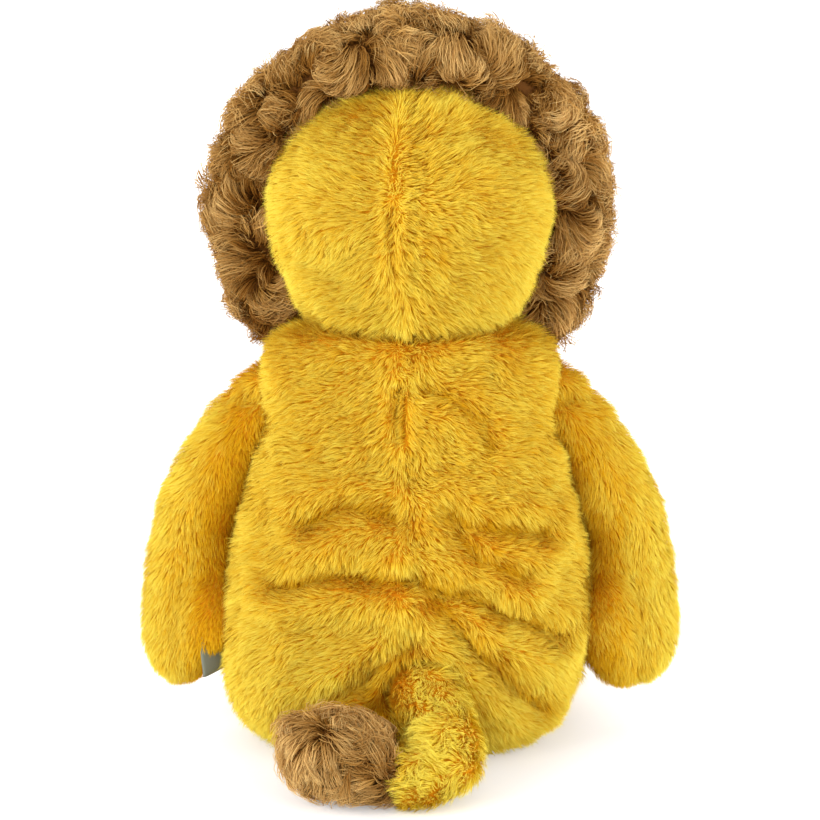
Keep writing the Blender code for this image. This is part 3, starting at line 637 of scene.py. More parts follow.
def ripple(points, size, seed, waves=7):
    """A smooth value that wanders over the points by about one, with patches of about this size."""
    chance = np.random.default_rng(seed)
    total = np.zeros(len(points))
    for number in range(waves):
        direction = unit(chance.normal(size=3))
        pitch = math.tau / size * chance.uniform(0.6, 1.5)
        total += np.sin(points @ direction * pitch + chance.uniform(0, math.tau))
    return total / math.sqrt(waves)


def off_line(points, start, end):
    """The way to each point from a stretch of line, seen from behind."""
    along = np.subtract(end, start)
    rel = points[:, [0, 2]] - np.array(start)
    part = np.clip(rel @ along / (along @ along), 0, 1)
    return rel - part[:, None] * along


class Ground:
    """The bare outer faces of a skin, or of the side of it that counts, where strands can be rooted."""

    def __init__(self, skin, own_nodes, reach=BARE_REACH, counts=None):
        skin.data.calc_loop_triangles()
        ids = rows(skin.data.loop_triangles, "vertices", np.int32)
        faces = corners(skin)[ids]
        centres = faces.mean(axis=1)
        crosses = np.cross(faces[:, 1] - faces[:, 0], faces[:, 2] - faces[:, 0])
        out = unit(crosses)
        tree = solids_tree(own_nodes)
        starts = centres + out * LOOK_START
        bare = [tree.ray_cast(a, b, reach)[0] is None for a, b in zip(starts.tolist(), out.tolist())]
        bare = np.array(bare) & (centres[:, 2] > LOWEST_ROOT)
        if counts:
            bare &= counts(centres)
        self.faces = faces[bare]
        self.normals = corner_normals(skin)[ids][bare]
        self.areas = np.linalg.norm(crosses[bare], axis=1) / 2

    def scatter(self, count, chance):
        """Evenly spread points on the faces, and the surface's normals there."""
        steps = np.cumsum(self.areas)
        wanted = (np.arange(count) + chance.random(count)) / count * steps[-1]
        chosen = np.minimum(np.searchsorted(steps, wanted), len(steps) - 1)
        first, second = np.sqrt(chance.random(count)), chance.random(count)
        shares = np.stack([1 - first, first * (1 - second), first * second], axis=1)[:, :, None]
        points = (self.faces[chosen] * shares).sum(axis=1)
        normals = unit((self.normals[chosen] * shares).sum(axis=1))
        return points, normals


def spaced(points, gap, chance, tries=8000):
    """The numbers of some of the points, spread evenly, each at least a gap away from the others."""
    chosen = []
    for number in chance.permutation(len(points))[:tries]:
        if not chosen or np.linalg.norm(points[chosen] - points[number], axis=1).min() > gap:
            chosen.append(number)
    return np.array(chosen)


def nearest(centres, points):
    """For each point, the number of the nearest centre."""
    tree = KDTree(len(centres))
    for number, centre in enumerate(centres.tolist()):
        tree.insert(centre, number)
    tree.balance()
    find = tree.find
    return np.array([find(point)[1] for point in points.tolist()])


# How a pile is made: strands on a square millimetre, their length, how much it varies, the angle that they
# leave the skin at and the angle at their tips, the size of clumps, how far they draw together, the strands'
# width, how far the combing wanders, how far a strand turns on itself, its steps, the swing of its curl, the
# number of its waves, how far a lock whirls round, and how far a lock is bunched into a ball
Pile = namedtuple(
    "Pile", "density length variety lift droop clump pull width wander roll steps curl waves whirl bunch",
    defaults=(2, 0.0, 0.0, 0.0, 0.0),
)


# What all piles share: how deep strands are rooted, and the sizes of the patches in which they wander, curl
# round, vary in length and vary in tone
STRAND_ROOT = 0.0006
WANDER_PATCH = 0.030
SWIRL_PATCH = 0.011
LENGTH_PATCH = 0.013
TONE_PATCH = 0.022
SQUARE_MILLIMETRES = 1e6

# Lumps, as shares of their size: the gap between middles, their reach, and a ball's height and half width
LUMP_GAP = 0.70
LUMP_REACH = 0.62
BALL_HEIGHT = 0.24
BALL_HALVES = (0.54, 0.80)


def grow_pile(
    name, ground, pile, comb, coat, body, seed, shade=None, lump=0.0, part_at=None, outline=None,
):
    """Roots strands all over the ground and combs them: tapered ribbons, in one mesh or in named parts."""
    chance = np.random.default_rng(seed)
    density = pile.density * SQUARE_MILLIMETRES
    count = int(ground.areas.sum() * density)
    points, normals = ground.scatter(count, chance)

    # The way that each strand lies, and how long, how steep and how pale it is
    flow = level_with(comb(points, normals), normals)
    upright = 1 - np.clip(np.linalg.norm(flow, axis=1) / 0.6, 0, 1)
    flow = unit(flow)
    side = np.cross(normals, flow)
    wander = ripple(points, WANDER_PATCH, seed + 1) + 0.6 * ripple(points, SWIRL_PATCH, seed + 2)
    turn = pile.wander * wander
    turn = turn + (0.18 + 1.3 * upright) * chance.normal(size=count)
    length = pile.length * (1 + pile.variety * np.clip(chance.normal(size=count), -2, 2))
    length = length * (1 + 0.12 * ripple(points, LENGTH_PATCH, seed + 3))
    tone = 0.56 + 0.09 * chance.normal(size=count) + 0.07 * ripple(points, TONE_PATCH, seed + 4)
    lift = pile.lift * (1 + 0.18 * chance.normal(size=count)) + 0.15 * upright

    # Rounded lumps, each with its own turn and whirl, and dark gaps between them: the strands are shorter
    # there, and painted shade lowers their tone towards each lump's edge
    fan = np.zeros((count, 3))
    whirl = np.zeros(count)
    if lump:
        middles = spaced(points, LUMP_GAP * lump, chance)
        lumps = len(middles)
        owner = nearest(points[middles], points)
        fan = level_with(points - points[middles][owner], normals) / (lump * LUMP_REACH)
        far = np.linalg.norm(fan, axis=1)
        fan = fan * 0.75
        turn = turn + 1.7 * pile.wander * chance.normal(size=lumps)[owner]
        length = length * np.clip(1.15 - 0.60 * far ** 2, 0.50, 1.2)
        tone = tone + 0.15 - 1.25 * np.clip(far - 0.32, 0, 1) + 0.13 * chance.normal(size=lumps)[owner]
        way = chance.choice((-1.0, 1.0), lumps) * chance.uniform(0.5, 1.3, lumps)
        whirl = pile.whirl * way[owner]
    forward = unit(turned(flow, side, turn) + fan)
    side = np.cross(normals, forward)

    # Clumps: strands that lean on one of their number
    tufts = chance.choice(count, max(int(count / (density * pile.clump ** 2)), 1), replace=False)
    tuft = nearest(points[tufts], points)
    tone = tone + (0.20 if pile.curl else 0.13) * chance.normal(size=len(tufts))[tuft]
    tone = tone + 0.16 * upright
    whirl = whirl + 0.5 * pile.wander * chance.normal(size=len(tufts))[tuft]
    phase = chance.uniform(0, math.tau, len(tufts))[tuft] + 0.5 * chance.normal(size=count)
    # The shade function paints shade and light into the tone: it lowers the tone where it paints shade and
    # raises it where the pile is painted paler, and it shortens the strands that it deepens
    if shade:
        dim = shade(points)
        tone = tone - dim
        length = length * (1 - 0.45 * np.clip(dim, 0, 1))

    # Each strand's path from root to tip
    steps = pile.steps
    shares = np.linspace(0, 1, steps + 1)
    path = np.empty((steps + 1, count, 3))
    path[0] = points - normals * STRAND_ROOT
    for step in range(steps):
        share = (shares[step] + shares[step + 1]) / 2
        ahead = turned(turned(forward, side, whirl * share), normals, lift + (pile.droop - lift) * share)
        path[step + 1] = path[step] + ahead * (length / steps)[:, None]
    if pile.curl:
        for step in range(1, steps + 1):
            angle = math.tau * pile.waves * shares[step] + phase
            path[step] += turned(0.6 * normals, side, angle) * pile.curl * shares[step]
    guide = path[:, tufts, :]
    hold = pile.pull * (1 - 0.45 * chance.random(count) ** 2)
    for step in range(1, steps + 1):
        weight = hold * shares[step] ** 0.8
        path[step] += (guide[step][tuft] - path[step]) * weight[:, None]
    if pile.bunch:
        ball = points[middles][owner] + normals[middles][owner] * (BALL_HEIGHT * lump)
        radius = lump * chance.uniform(*BALL_HALVES, lumps)[owner][:, None]
        path[1:] += pile.bunch * (trimmed(path[1:], ball, radius, chance) - path[1:])
    if outline:
        path = slanted(trimmed(path, *outline, chance))
    above(path, FLOOR_GAP * 2)
    labels = part_at(points) if part_at else np.full(count, "")
    for label in sorted(set(labels)):
        own = labels == label
        ribbons(name + label, path[:, own], normals[own], tone[own], pile, chance, coat, body)


def trimmed(path, centre, halves, chance):
    """Draws in the strands that stand out of a rounded outline with a middle and some half sizes."""
    rel = (path - centre) / halves
    far = np.linalg.norm(rel, axis=-1, keepdims=True)
    limit = chance.uniform(0.80, 1.08, (1, path.shape[1], 1))
    return centre + rel * np.minimum(1.0, limit / np.maximum(far, TINY)) * halves


def ribbons(name, path, normals, tone, pile, chance, coat, body):
    """Turns paths into ribbons that taper to a point, each with its tone and the way along it as its UV."""
    levels, count = path.shape[:2]
    shares = np.linspace(0, 1, levels)
    roll = pile.roll * chance.normal(size=count)
    thickness = pile.width * chance.uniform(0.75, 1.25, count)
    per_strand = 2 * (levels - 1) + 1
    places = np.empty((count, per_strand, 3))
    uvs = np.empty((count, per_strand, 2))
    tone = np.clip(tone, 0.02, 0.97)
    for level in range(levels - 1):
        along = unit(path[level + 1] - path[max(level - 1, 0)])
        across = unit(np.cross(along, normals))
        half = thickness * (0.5 * (1 - 0.45 * shares[level] ** 1.5))
        half = turned(across, np.cross(along, across), roll) * half[:, None]
        for edge, sign in enumerate((-1, 1)):
            places[:, 2 * level + edge] = path[level] + sign * half
            uvs[:, 2 * level + edge, 0] = tone + sign * 0.006
        uvs[:, 2 * level:2 * level + 2, 1] = 0.015 + 0.97 * shares[level]
    places[:, -1] = path[-1]
    uvs[:, -1, 0] = tone
    uvs[:, -1, 1] = 0.985
    above(places, FLOOR_GAP * 1.5)
    pattern = [low + step for low in range(0, per_strand - 3, 2) for step in (0, 1, 3, 2)]
    pattern += [per_strand - 3, per_strand - 2, per_strand - 1]
    sizes_of_faces = np.tile([4] * (levels - 2) + [3], count)
    loops = (np.array(pattern)[None, :] + per_strand * np.arange(count)[:, None]).astype(np.int32).ravel()
    starts = np.concatenate([[0], np.cumsum(sizes_of_faces)[:-1]]).astype(np.int32)
    mesh = bpy.data.meshes.new(name)
    mesh.vertices.add(count * per_strand)
    mesh.vertices.foreach_set("co", places.ravel())
    mesh.loops.add(len(loops))
    mesh.loops.foreach_set("vertex_index", loops)
    mesh.polygons.add(len(starts))
    mesh.polygons.foreach_set("loop_start", starts)
    mesh.polygons.foreach_set("use_smooth", np.ones(len(starts), dtype=bool))
    layer = mesh.uv_layers.new(name="OFBake")
    layer.data.foreach_set("uv", uvs.reshape(-1, 2)[loops].ravel())
    mesh.materials.append(coat.pile)
    mesh.update(calc_edges=True)
    piece = add_object(name, mesh)
    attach(piece, body)
    print(f"{name}: {count} strands, {len(mesh.loops) - 2 * len(mesh.polygons)} triangles")


# Combing: the way that the pile lies at each point

def comb_torso(points, normals):
    """Outwards from the seams in the middle, and more and more downwards."""
    height = points[:, 2] / TORSO_TOP
    out = np.tanh((points[:, 0] - 0.003) / 0.009) * (0.55 + 0.45 * height)
    return columns(out, 0.0, -(0.95 - 0.60 * height))


def comb_head(points, normals):
    """Outwards from the seam at the back, and away from the nose in front."""
    x, y, z = (points - HEAD_MIDDLE).T
    out = np.tanh((x - 0.004 + 0.002 * ripple(points, 0.03, 5)) / 0.006)
    behind = columns(out, 0.0, 0.45 * z / 0.05 - 0.30)
    before = away_from(HEAD_MIDDLE - (0.0, 0.0, 0.012), points, back=0.015)
    front = grade(y, *FACE_FRONT)[:, None]
    return behind * (1 - front) + before * front


def comb_down(points, normals):
    """Down the arms, and outwards over their tops."""
    top = np.clip(normals[:, 2], 0, 1)
    return columns(np.sign(points[:, 0]) * (0.18 + 1.4 * top), 0.1, -1.0)


def comb_leg(points, normals):
    """Outwards and down, a little towards the foot, and away from the sole's middle round it."""
    sole = middle("left_sole")
    side = np.sign(points[:, 0])
    front = np.clip(-normals[:, 1], 0, 1)
    out = 0.40 * side * (1 - front) + front * 60 * (points[:, 0] - side * sole.x)
    down = -0.85 * (1 - front) + front * 60 * (points[:, 2] - sole.z)
    return columns(out, -0.5, down)


def comb_tail(points, normals):
    """Back and down from the torso, then sideways to the tuft."""
    bend = grade(points[:, 1], *TAIL_BEND)
    return columns(bend * 1.4 - 0.5, 1 - bend, -0.6 * (1 - bend))


def tuft_parting(points):
    """The way from the crease of the tuft, which runs down from its top to the tail, seen from behind."""
    top = (TUFT_LOW.x + 0.50 * TUFT_SIZE.x, TUFT_HIGH.z * 0.80)
    return off_line(points, top, (TUFT_LOW.x, TUFT_HIGH.z * 0.42))


def comb_tuft(points, normals):
    """Away from the crease all round."""
    x, z = tuft_parting(points).T
    return unit(columns(x, 0.3 * (points[:, 1] - (TUFT_LOW.y + TUFT_HIGH.y) / 2), z))


def comb_mane(points, normals):
    """Outwards from the face all round it, a little back, and well down below the cheeks."""
    x, y, z = (points - HEAD_MIDDLE).T
    return unit(columns(x, 0.02, np.where(z < 0, 2.2 * z, z) + 0.005))


def comb_ear(points, normals):
    """Away from the head's middle; the soles are combed so too."""
    return away_from(HEAD_MIDDLE, points)


def comb_muzzle(points, normals):
    """Away from the nose."""
    return away_from(middle("nose"), points, back=0.01)


# Parts: which panel or part of a pile each point belongs to, and what holds it

def torso_panel_at(points):
    x, y, z = points.T
    back = np.where(x > 0, "back_panel_left", "back_panel_right")
    return np.where(z < SEAT_SEAM, "seat_panel", np.where(y > 0, back, "belly_panel"))


def head_panel_at(points):
    back = np.where(points[:, 0] > 0, "head_back_left", "head_back_right")
    return np.where(points[:, 1] < FACE_SEAM, "face_panel", back)


def mane_part_at(points):
    return np.where(points[:, 0] > 0, "_left", "_right")


def behind_mane(points):
    return points[:, 1] > MANE_MIDDLE


def before_mane(points):
    return points[:, 1] <= MANE_MIDDLE


def clear_of_eyes(points):
    """Which points are clear of the eyes' rims, where the pile is trimmed."""
    far = [np.linalg.norm((points - np.array(middle(side + "_eye")))[:, [0, 2]], axis=1) for side in SIDES]
    return (np.min(far, axis=0) > EYE_CLEAR) | (points[:, 1] > 0)


def near_seams(points, across):
    """Which points are near the seam down the back or the one across, at its place in depth."""
    x, y, z = points.T
    return (np.abs(x) < SEAM_HOLD) & (y > across) | (np.abs(y - across) < SEAM_HOLD)


def torso_held(points):
    """The corners of the torso that its seams, its limbs and the floor hold."""
    return near_seams(points, 0.0) | (points[:, 2] < 0.010) | (points[:, 2] > TORSO_TOP - 0.006)


def head_held(points):
    """The corners of the head that its seams and the neck hold."""
    return near_seams(points, FACE_SEAM) | (points[:, 2] < TORSO_TOP + 0.010)


# Folds: how far a form is pressed out at each point, in metres

def crease_field(points, creases):
    """How deep some creases are at each point, in metres, and how much painted shade they give the pile
    there, as a share.
    """
    depth = np.zeros(len(points))
    share = np.zeros(len(points))
    for line, deep, wide in creases:
        near = np.full(len(points), 1.0)
        for start, end in zip(line, line[1:]):
            near = np.minimum(near, np.linalg.norm(off_line(points, start, end), axis=1))
        cut = hill(near, 0.0, wide)
        depth += deep * (0.55 * hill(near, 2.1 * wide, 1.3 * wide) - cut)
        share = np.maximum(share, cut * np.minimum(deep / 0.003, 1.0))
    behind = grade(points[:, 1], 0.0, BACK_BLEND)
    return depth * behind, share * behind


def seam_furrows(points, across):
    """The furrows of the seam down the back and of the one across, at its place in depth."""
    x, y, z = points.T
    back = grade(y, across, BACK_BLEND)
    return SEAM_FURROW * (back * hill(x, 0.0, SEAM_WIDTH) + hill(y, across, SEAM_WIDTH))


def torso_folds(points, normals):
    """Creases on the outside of the torso's back, its full rim and shoulders, and its seams."""
    x, y, z = points.T
    outside = grade(normals[:, 1], 0.2, 0.3)
    rim = RIM_SWELL * grade(y, 0.0, BACK_BLEND) * grade(z, *TORSO_RIM)
    shoulder = grade(np.abs(normals[:, 0]), 0.35, 0.4) * swelling(z, SHOULDER)
    return crease_field(points, TORSO_CREASES)[0] * outside + rim + shoulder - seam_furrows(points, 0.0)


def head_folds(points, normals):
    """Creases on the back of the head, its full nape, and its seams."""
    back = grade(points[:, 1], FACE_SEAM, BACK_BLEND)
    nape = back * swelling(points[:, 2], NAPE)
    return crease_field(points, HEAD_CREASES)[0] * back + nape - seam_furrows(points, FACE_SEAM)


def arm_folds(points, normals):
    """Slimmer on the outside near the shoulder, full on top of it, and full on the inside at the paw."""
    x, y, z = points.T
    top = grade(normals[:, 2], 0.45, 0.4)
    slim = (ARM_TOP_FULL * top - ARM_SLIM) * grade(z, *ARM_TOP)
    corner = ARM_CORNER * grade(z, *ARM_CORNER_UP) * grade(np.abs(x), *ARM_CORNER_OUT)
    reach = np.where(z < PAW.height, by_side(points, PAW_REACH_BELOW), PAW.reach)
    paw = grade(-normals[:, 0] * np.sign(x), 0.0, 0.6) * swelling(z, PAW._replace(reach=reach))
    return slim - corner + paw


def tail_folds(points, normals):
    """The tail is fuller low down on the side away from the tuft."""
    return np.clip(-normals[:, 0], 0, 1) * swelling(points[:, 2], TAIL_SWELL)


def lean(form):
    """Shifts the foot of the torso a little to the lion's left, as its weight has settled."""
    places = corners(form)
    x, y, z = places.T
    places[:, 0] += FOOT_LEAN * grade(z, *TORSO_FOOT) * grade(y, *TORSO_BACK)
    move_corners(form, places)


def sag(form):
    """Lets the mane hang down a little at both sides of the neck, and narrows it at the top."""
    places = corners(form)
    places[:, 0] *= 1 - MANE_TAPER * grade(places[:, 2], *MANE_TOP)
    beside = grade(np.abs(places[:, 0]), *BESIDE_NECK)
    places[:, 2] -= MANE_SAG * grade(places[:, 2], *MANE_LOW) * beside
    move_corners(form, places)


def slanted(places):
    """Leans the tuft towards the tail at its foot."""
    return places + TUFT_SLANT * (places[..., 2:] - TUFT_FOOT) * np.array((1.0, 0.0, 0.0))


def tuft_outline():
    """The tuft's rounded outline: its middle and its half sizes."""
    centre = np.array(middle("tail_tuft")) + (-0.0005, 0.0, 0.0022)
    return centre, np.array(TUFT_SIZE) / 2 * (1.12, 1.12, 1.16)


# Painted shade and light: how much deeper in colour the pile is painted at each point, mostly for shade in
# creases and between parts and for the side that light falls on

def torso_painted_shade(points):
    """Painted shade: deeper in colour in the creases; and painted light: paler low down, where the torso
    faces away from the lamps.
    """
    return 0.52 * crease_field(points, TORSO_CREASES)[1] - 0.22 * grade(points[:, 2], *TORSO_LOW)


def head_painted_shade(points):
    """Painted shade: deeper in colour in the creases; and a little paler all over."""
    return 0.50 * crease_field(points, HEAD_CREASES)[1] - 0.08


def mane_painted_light(points):
    """Painted light: a little paler on the lion's right, and deeper on its left."""
    return 1.2 * points[:, 0]


def arm_painted_shade(points):
    """Painted shade: deeper towards the torso, most of all on the left; painted light: paler on the outside;
    with faint streaks.
    """
    x, y, z = points.T
    height = np.maximum(z, ARM_WIDEST) - ARM_WIDEST
    inner = ARM_INNER + ARM_INNER_SLOPE * height
    outer = ARM_OUTER + ARM_OUTER_CURVE * height ** 2
    share = (np.abs(x) - inner) / np.maximum(outer - inner, 0.008)
    inside = by_side(points, ARM_PAINTED_SHADE) * grade(share, 0.66, -0.48) * grade(z, *ARM_BELOW_SHOULDER)
    streaks = 0.13 * ripple(points * np.array((1.0, 1.0, 0.22)), 0.014, 91)
    return inside + streaks - 0.30 * grade(share, 0.55, 0.30)


def leg_shade(points):
    """Paler all over."""
    return np.full(len(points), -0.20)


def tail_painted_shade(points):
    """Paler, with painted shade where the tuft and the torso shade it."""
    return 0.70 * grade(points[:, 0], *TAIL_BY_TUFT) * grade(points[:, 2], *TAIL_RAISED) - 0.42


def tuft_painted_shade(points):
    """Painted shade in the crease, and painted light: paler away from the tail."""
    far = np.linalg.norm(tuft_parting(points), axis=1)
    behind = grade(points[:, 1], TUFT_LOW.y, TUFT_SIZE.y)
    across = (points[:, 0] - TUFT_LOW.x) / TUFT_SIZE.x
    return 0.60 * hill(far, 0.0, 0.0050) * behind + 0.06 - 0.42 * across


# Sizes and colours

def length_setting(name, description, default):
    return FloatProperty(
        name=name, description=description, default=default, min=0.0, unit="LENGTH", precision=4,
    )


def plain_setting(name, description, default, **kind):
    return FloatProperty(name=name, description=description, default=default, min=0.0, **kind)


def colour_setting(name, description, default):
    return FloatVectorProperty(
        name=name, description=description, default=default, min=0.0, max=1.0, size=3, subtype="COLOR",
    )


class LionSizes(PropertyGroup):
    """Sizes of the pile and its strands."""

    body_pile: length_setting("Body pile", "Length of the yellow pile on torso and head", 0.0062)
    limb_pile: length_setting("Limb pile", "Length of the yellow pile on arms, legs and tail", 0.0060)
    mane_pile: length_setting("Mane pile", "Length of the brown pile of the mane", 0.0184)
    tuft_pile: length_setting("Tuft pile", "Length of the brown pile of the tail's tuft", 0.0165)
    plush_pile: length_setting("Plush pile", "Length of the cream pile on muzzle, ears and soles", 0.0030)
    strand: length_setting("Strand", "Width of a yellow strand", 0.00034)
    mane_strand: length_setting("Mane strand", "Width of a brown strand", 0.00032)
    mane_lump: length_setting("Mane lump", "Width of one rounded lock of the mane", 0.0180)
    density: plain_setting("Density", "Yellow strands on a square millimetre", 2.90)
    mane_density: plain_setting("Mane density", "Brown strands on a square millimetre", 2.7)


class LionColours(PropertyGroup):
    """Colours of the strands, from root to tip, and of the trimmings."""

    # The root colours are painted shade deep in the pile; the deep colours give darker strands and the
    # painted shade of creases and gaps
    yellow_root: colour_setting("Yellow root", "Yellow pile near the skin", (0.62, 0.19, 0.002))
    yellow_deep: colour_setting("Yellow deep", "Darker strands of the yellow pile", (0.80, 0.39, 0.004))
    yellow_body: colour_setting("Yellow", "The yellow pile", (0.90, 0.66, 0.026))
    yellow_light: colour_setting("Yellow tip", "Light tips of the yellow pile", (0.97, 0.84, 0.130))
    brown_root: colour_setting("Brown root", "Brown pile near the skin", (0.070, 0.020, 0.002))
    brown_deep: colour_setting("Brown deep", "Darker strands of the brown pile", (0.21, 0.078, 0.010))
    brown_body: colour_setting("Brown", "The brown pile", (0.54, 0.262, 0.046))
    brown_light: colour_setting("Brown tip", "Light tips of the brown pile", (0.90, 0.62, 0.25))
    cream_deep: colour_setting("Cream deep", "Cream pile near the skin", (0.52, 0.36, 0.20))
    cream: colour_setting("Cream", "The cream pile", (0.84, 0.70, 0.47))
    dark: colour_setting("Dark brown", "Nose and mouth", (0.040, 0.022, 0.015))
    label: colour_setting("Label", "The cloth label", (0.28, 0.30, 0.23))
    floor: colour_setting("Floor", "The floor and the backdrop", (0.90, 0.90, 0.90))


class StageSettings(PropertyGroup):
    """Light and camera."""

    key: plain_setting("Key light", "Power of the main lamp", 21.0, unit="POWER")
    fill: plain_setting("Fill light", "Power of the softer lamps", 15.5, unit="POWER")
    sky: plain_setting("Sky", "Strength of the light from all round", 0.86)
    camera_distance: length_setting("Camera distance", "From the aim to the camera", 1.5)
    camera_height: plain_setting("Camera height", "Above the horizon", math.radians(17.0), subtype="ANGLE")
    aim_height: length_setting("Aim height", "Height of the point that the camera looks at", 0.1438)


def sizes():
    return bpy.context.scene.lion_sizes


def colours():
    return bpy.context.scene.lion_colours


# A pile's colours from root to tip, the darker and the lighter colour of its backing, and its slot; the
# backing takes the pile's darker colours, painted shade seen deep in the pile, and paler ones under a thin
# pile
PILE_SHADES = {
    "yellow": ("yellow_root", "yellow_deep", "yellow_body", "yellow_light"),
    "brown": ("brown_root", "brown_deep", "brown_body", "brown_light"),
    "cream": ("cream_deep", "cream_deep", "cream", "cream"),
}
BACKING_SHADES = {
    "yellow": ("yellow_root", "yellow_deep"),
    "yellow_pale": ("yellow_deep", "yellow_body"),
    "brown": ("brown_root", "brown_deep"),
    "cream": ("cream_deep", "cream"),
}
SLOTS = {"yellow": "fur_yellow", "brown": "fur_brown", "cream": "plush_cream"}
Coat = namedtuple("Coat", "backing pile slot")


def shared_paint(name, make, *arguments):
    """A material by name, made when it is first asked for."""
    found = bpy.data.materials.get(name)
    return found if found else make(name, *arguments)


def shades(names):
    return [tuple(getattr(colours(), name)) for name in names]


def fur_coat(kind, pale=False):
    """The materials of a kind of pile and of its backing, paler where the pile is thin, and their slot."""
    backing = kind + "_pale" if pale else kind
    return Coat(
        shared_paint(backing + "_backing", backing_paint, *shades(BACKING_SHADES[backing])),
        shared_paint(kind + "_pile", pile_paint, shades(PILE_SHADES[kind])),
        SLOTS[kind],
    )


def yellow_pile(length, share=1.0, **changes):
    """The yellow pile with a share of its strands, wider by so much that they cover the skin as well."""
    s = sizes()
    pile = Pile(
        density=s.density * share, length=length, variety=0.18, lift=1.20, droop=0.62, clump=0.0016,
        pull=0.44, width=s.strand * max(1.0, share ** -0.5), wander=0.42, roll=0.3,
    )
    return pile._replace(**changes)


def plush_pile():
    return Pile(
        density=2.2, length=sizes().plush_pile, variety=0.15, lift=0.9, droop=0.4, clump=0.0018, pull=0.4,
        width=0.00050, wander=0.3, roll=0.6,
    )


# Operators

class PLUSH_OT_torso(Operator):
    """Torso: two back panels, the belly and the seat, with their pile"""

    bl_idname = "plush.torso"
    bl_label = "Torso"

    def execute(self, context):
        sewn_part(
            "torso", TORSO_PANELS, ("torso_filling", "pellet_bag"), torso_held, limit=0.0015,
            folds=torso_folds, panel_at=torso_panel_at, comb=comb_torso, seed=10,
            shade=torso_painted_shade, settle=lean,
        )
        return {"FINISHED"}


class PLUSH_OT_head(Operator):
    """Head: two back panels and the face, with their pile"""

    bl_idname = "plush.head"
    bl_label = "Head"

    def execute(self, context):
        sewn_part(
            "head", HEAD_PANELS, ("head_filling",), head_held, limit=0.0010, folds=head_folds,
            panel_at=head_panel_at, comb=comb_head, seed=20, shade=head_painted_shade,
            counts=clear_of_eyes,
        )
        return {"FINISHED"}


class PLUSH_OT_mane(Operator):
    """Mane: a thick ring of long curly locks round the face"""

    bl_idname = "plush.mane"
    bl_label = "Mane"

    def execute(self, context):
        coat = fur_coat("brown")
        s = sizes()
        skin = stuffed_skin("mane", Form(mesh_size=0.003, inset=0.0045, fill=0.6), "head", coat)
        sag(skin)
        pile = Pile(
            density=s.mane_density, length=s.mane_pile, variety=0.20, lift=1.35, droop=-1.0, clump=0.0024,
            pull=0.66, width=s.mane_strand, wander=0.8, roll=0.8, steps=4, curl=0.0009, waves=1.3, whirl=1.5,
            bunch=0.72,
        )
        thin = pile._replace(density=s.mane_density * 0.50, width=s.mane_strand * 1.5)
        for name, counts, strands, seed, shade, part_at in (
            ("mane_back_pile", behind_mane, pile, 30, mane_painted_light, mane_part_at),
            ("mane_front_pile", before_mane, thin, 31, None, None),
        ):
            grow_pile(
                name, Ground(skin, ("mane",), 0.0025, counts), strands, comb_mane, coat, "head", seed, shade,
                lump=s.mane_lump, part_at=part_at,
            )
        return {"FINISHED"}


class PLUSH_OT_ears(Operator):
    """Ears: a yellow pad each, with a cream lining"""

    bl_idname = "plush.ears"
    bl_label = "Ears"

    def execute(self, context):
        form = Form(mesh_size=0.0012, inset=0.0002, fill=0.5, reach=0.0011)
        for number, side in enumerate(SIDES):
            ear = side + "_ear"
            for node, coat, pile in (
                (ear, fur_coat("yellow", pale=True), yellow_pile(0.006, 0.7)),
                (ear + "_lining", fur_coat("cream"), plush_pile()),
            ):
                furred(node, form, "head", coat, pile, comb_ear, seed=40 + number, near=(ear,))
        return {"FINISHED"}


class PLUSH_OT_muzzle(Operator):
    """Muzzle, nose and mouth"""

    bl_idname = "plush.muzzle"
    bl_label = "Muzzle"

    def execute(self, context):
        form = Form(mesh_size=0.0012, inset=0.0002, fill=0.8, reach=0.001)
        furred(
            "muzzle", form, "head", fur_coat("cream"), plush_pile(), comb_muzzle, seed=50,
            near=("mouth_stitches",),
        )
        dark = tuple(colours().dark)
        faint = tuple(x * 0.5 for x in dark)
        pale = tuple(x * 2.0 for x in dark)
        cloth = cloth_paint("nose_backing", faint, dark, 1500.0)
        coat = Coat(cloth, pile_paint("nose_pile", [faint, faint, dark, pale]), "nose_velour")
        nose = dress(smooth_copy("nose", "nose_velour"), "nose", "head", coat.backing)
        nap = Pile(
            density=9.0, length=0.0012, variety=0.2, lift=0.9, droop=0.3, clump=0.0012, pull=0.3,
            width=0.00026, wander=0.3, roll=0.5,
        )
        grow_pile("nose_nap", Ground(nose, ("nose",)), nap, comb_muzzle, coat, "head", seed=51)
        mouth = smooth_copy("mouth_stitches", "mouth_thread", levels=1)
        dress(mouth, "mouth_stitches", "head", thread_paint("mouth_thread", faint, pale))
        return {"FINISHED"}


class PLUSH_OT_eyes(Operator):
    """Eyes: smooth domes on their shanks"""

    bl_idname = "plush.eyes"
    bl_label = "Eyes"

    def execute(self, context):
        for side in SIDES:
            node = side + "_eye"
            paint = shared_paint("eye_plastic", eye_paint)
            dress(smooth_copy(node, node + "_dome"), node, "head", paint)
        return {"FINISHED"}


class PLUSH_OT_arms(Operator):
    """Both arms, with their pile combed down to the paws"""

    bl_idname = "plush.arms"
    bl_label = "Arms"

    def execute(self, context):
        form = Form(mesh_size=0.0025, inset=0.0002, fill=0.7)
        pile = yellow_pile(sizes().limb_pile, lift=1.00, droop=0.38, variety=0.13, pull=0.34, wander=0.22)
        for number, side in enumerate(SIDES):
            arm, filling, body = side + "_arm", side + "_arm_filling", "arm_" + side
            furred(
                arm, form, body, fur_coat("yellow"), pile, comb_down, seed=60 + number, shade=arm_painted_shade,
                inside=(filling,), folds=arm_folds,
            )
            fibre_filling(filling, body, arm_folds)
        return {"FINISHED"}


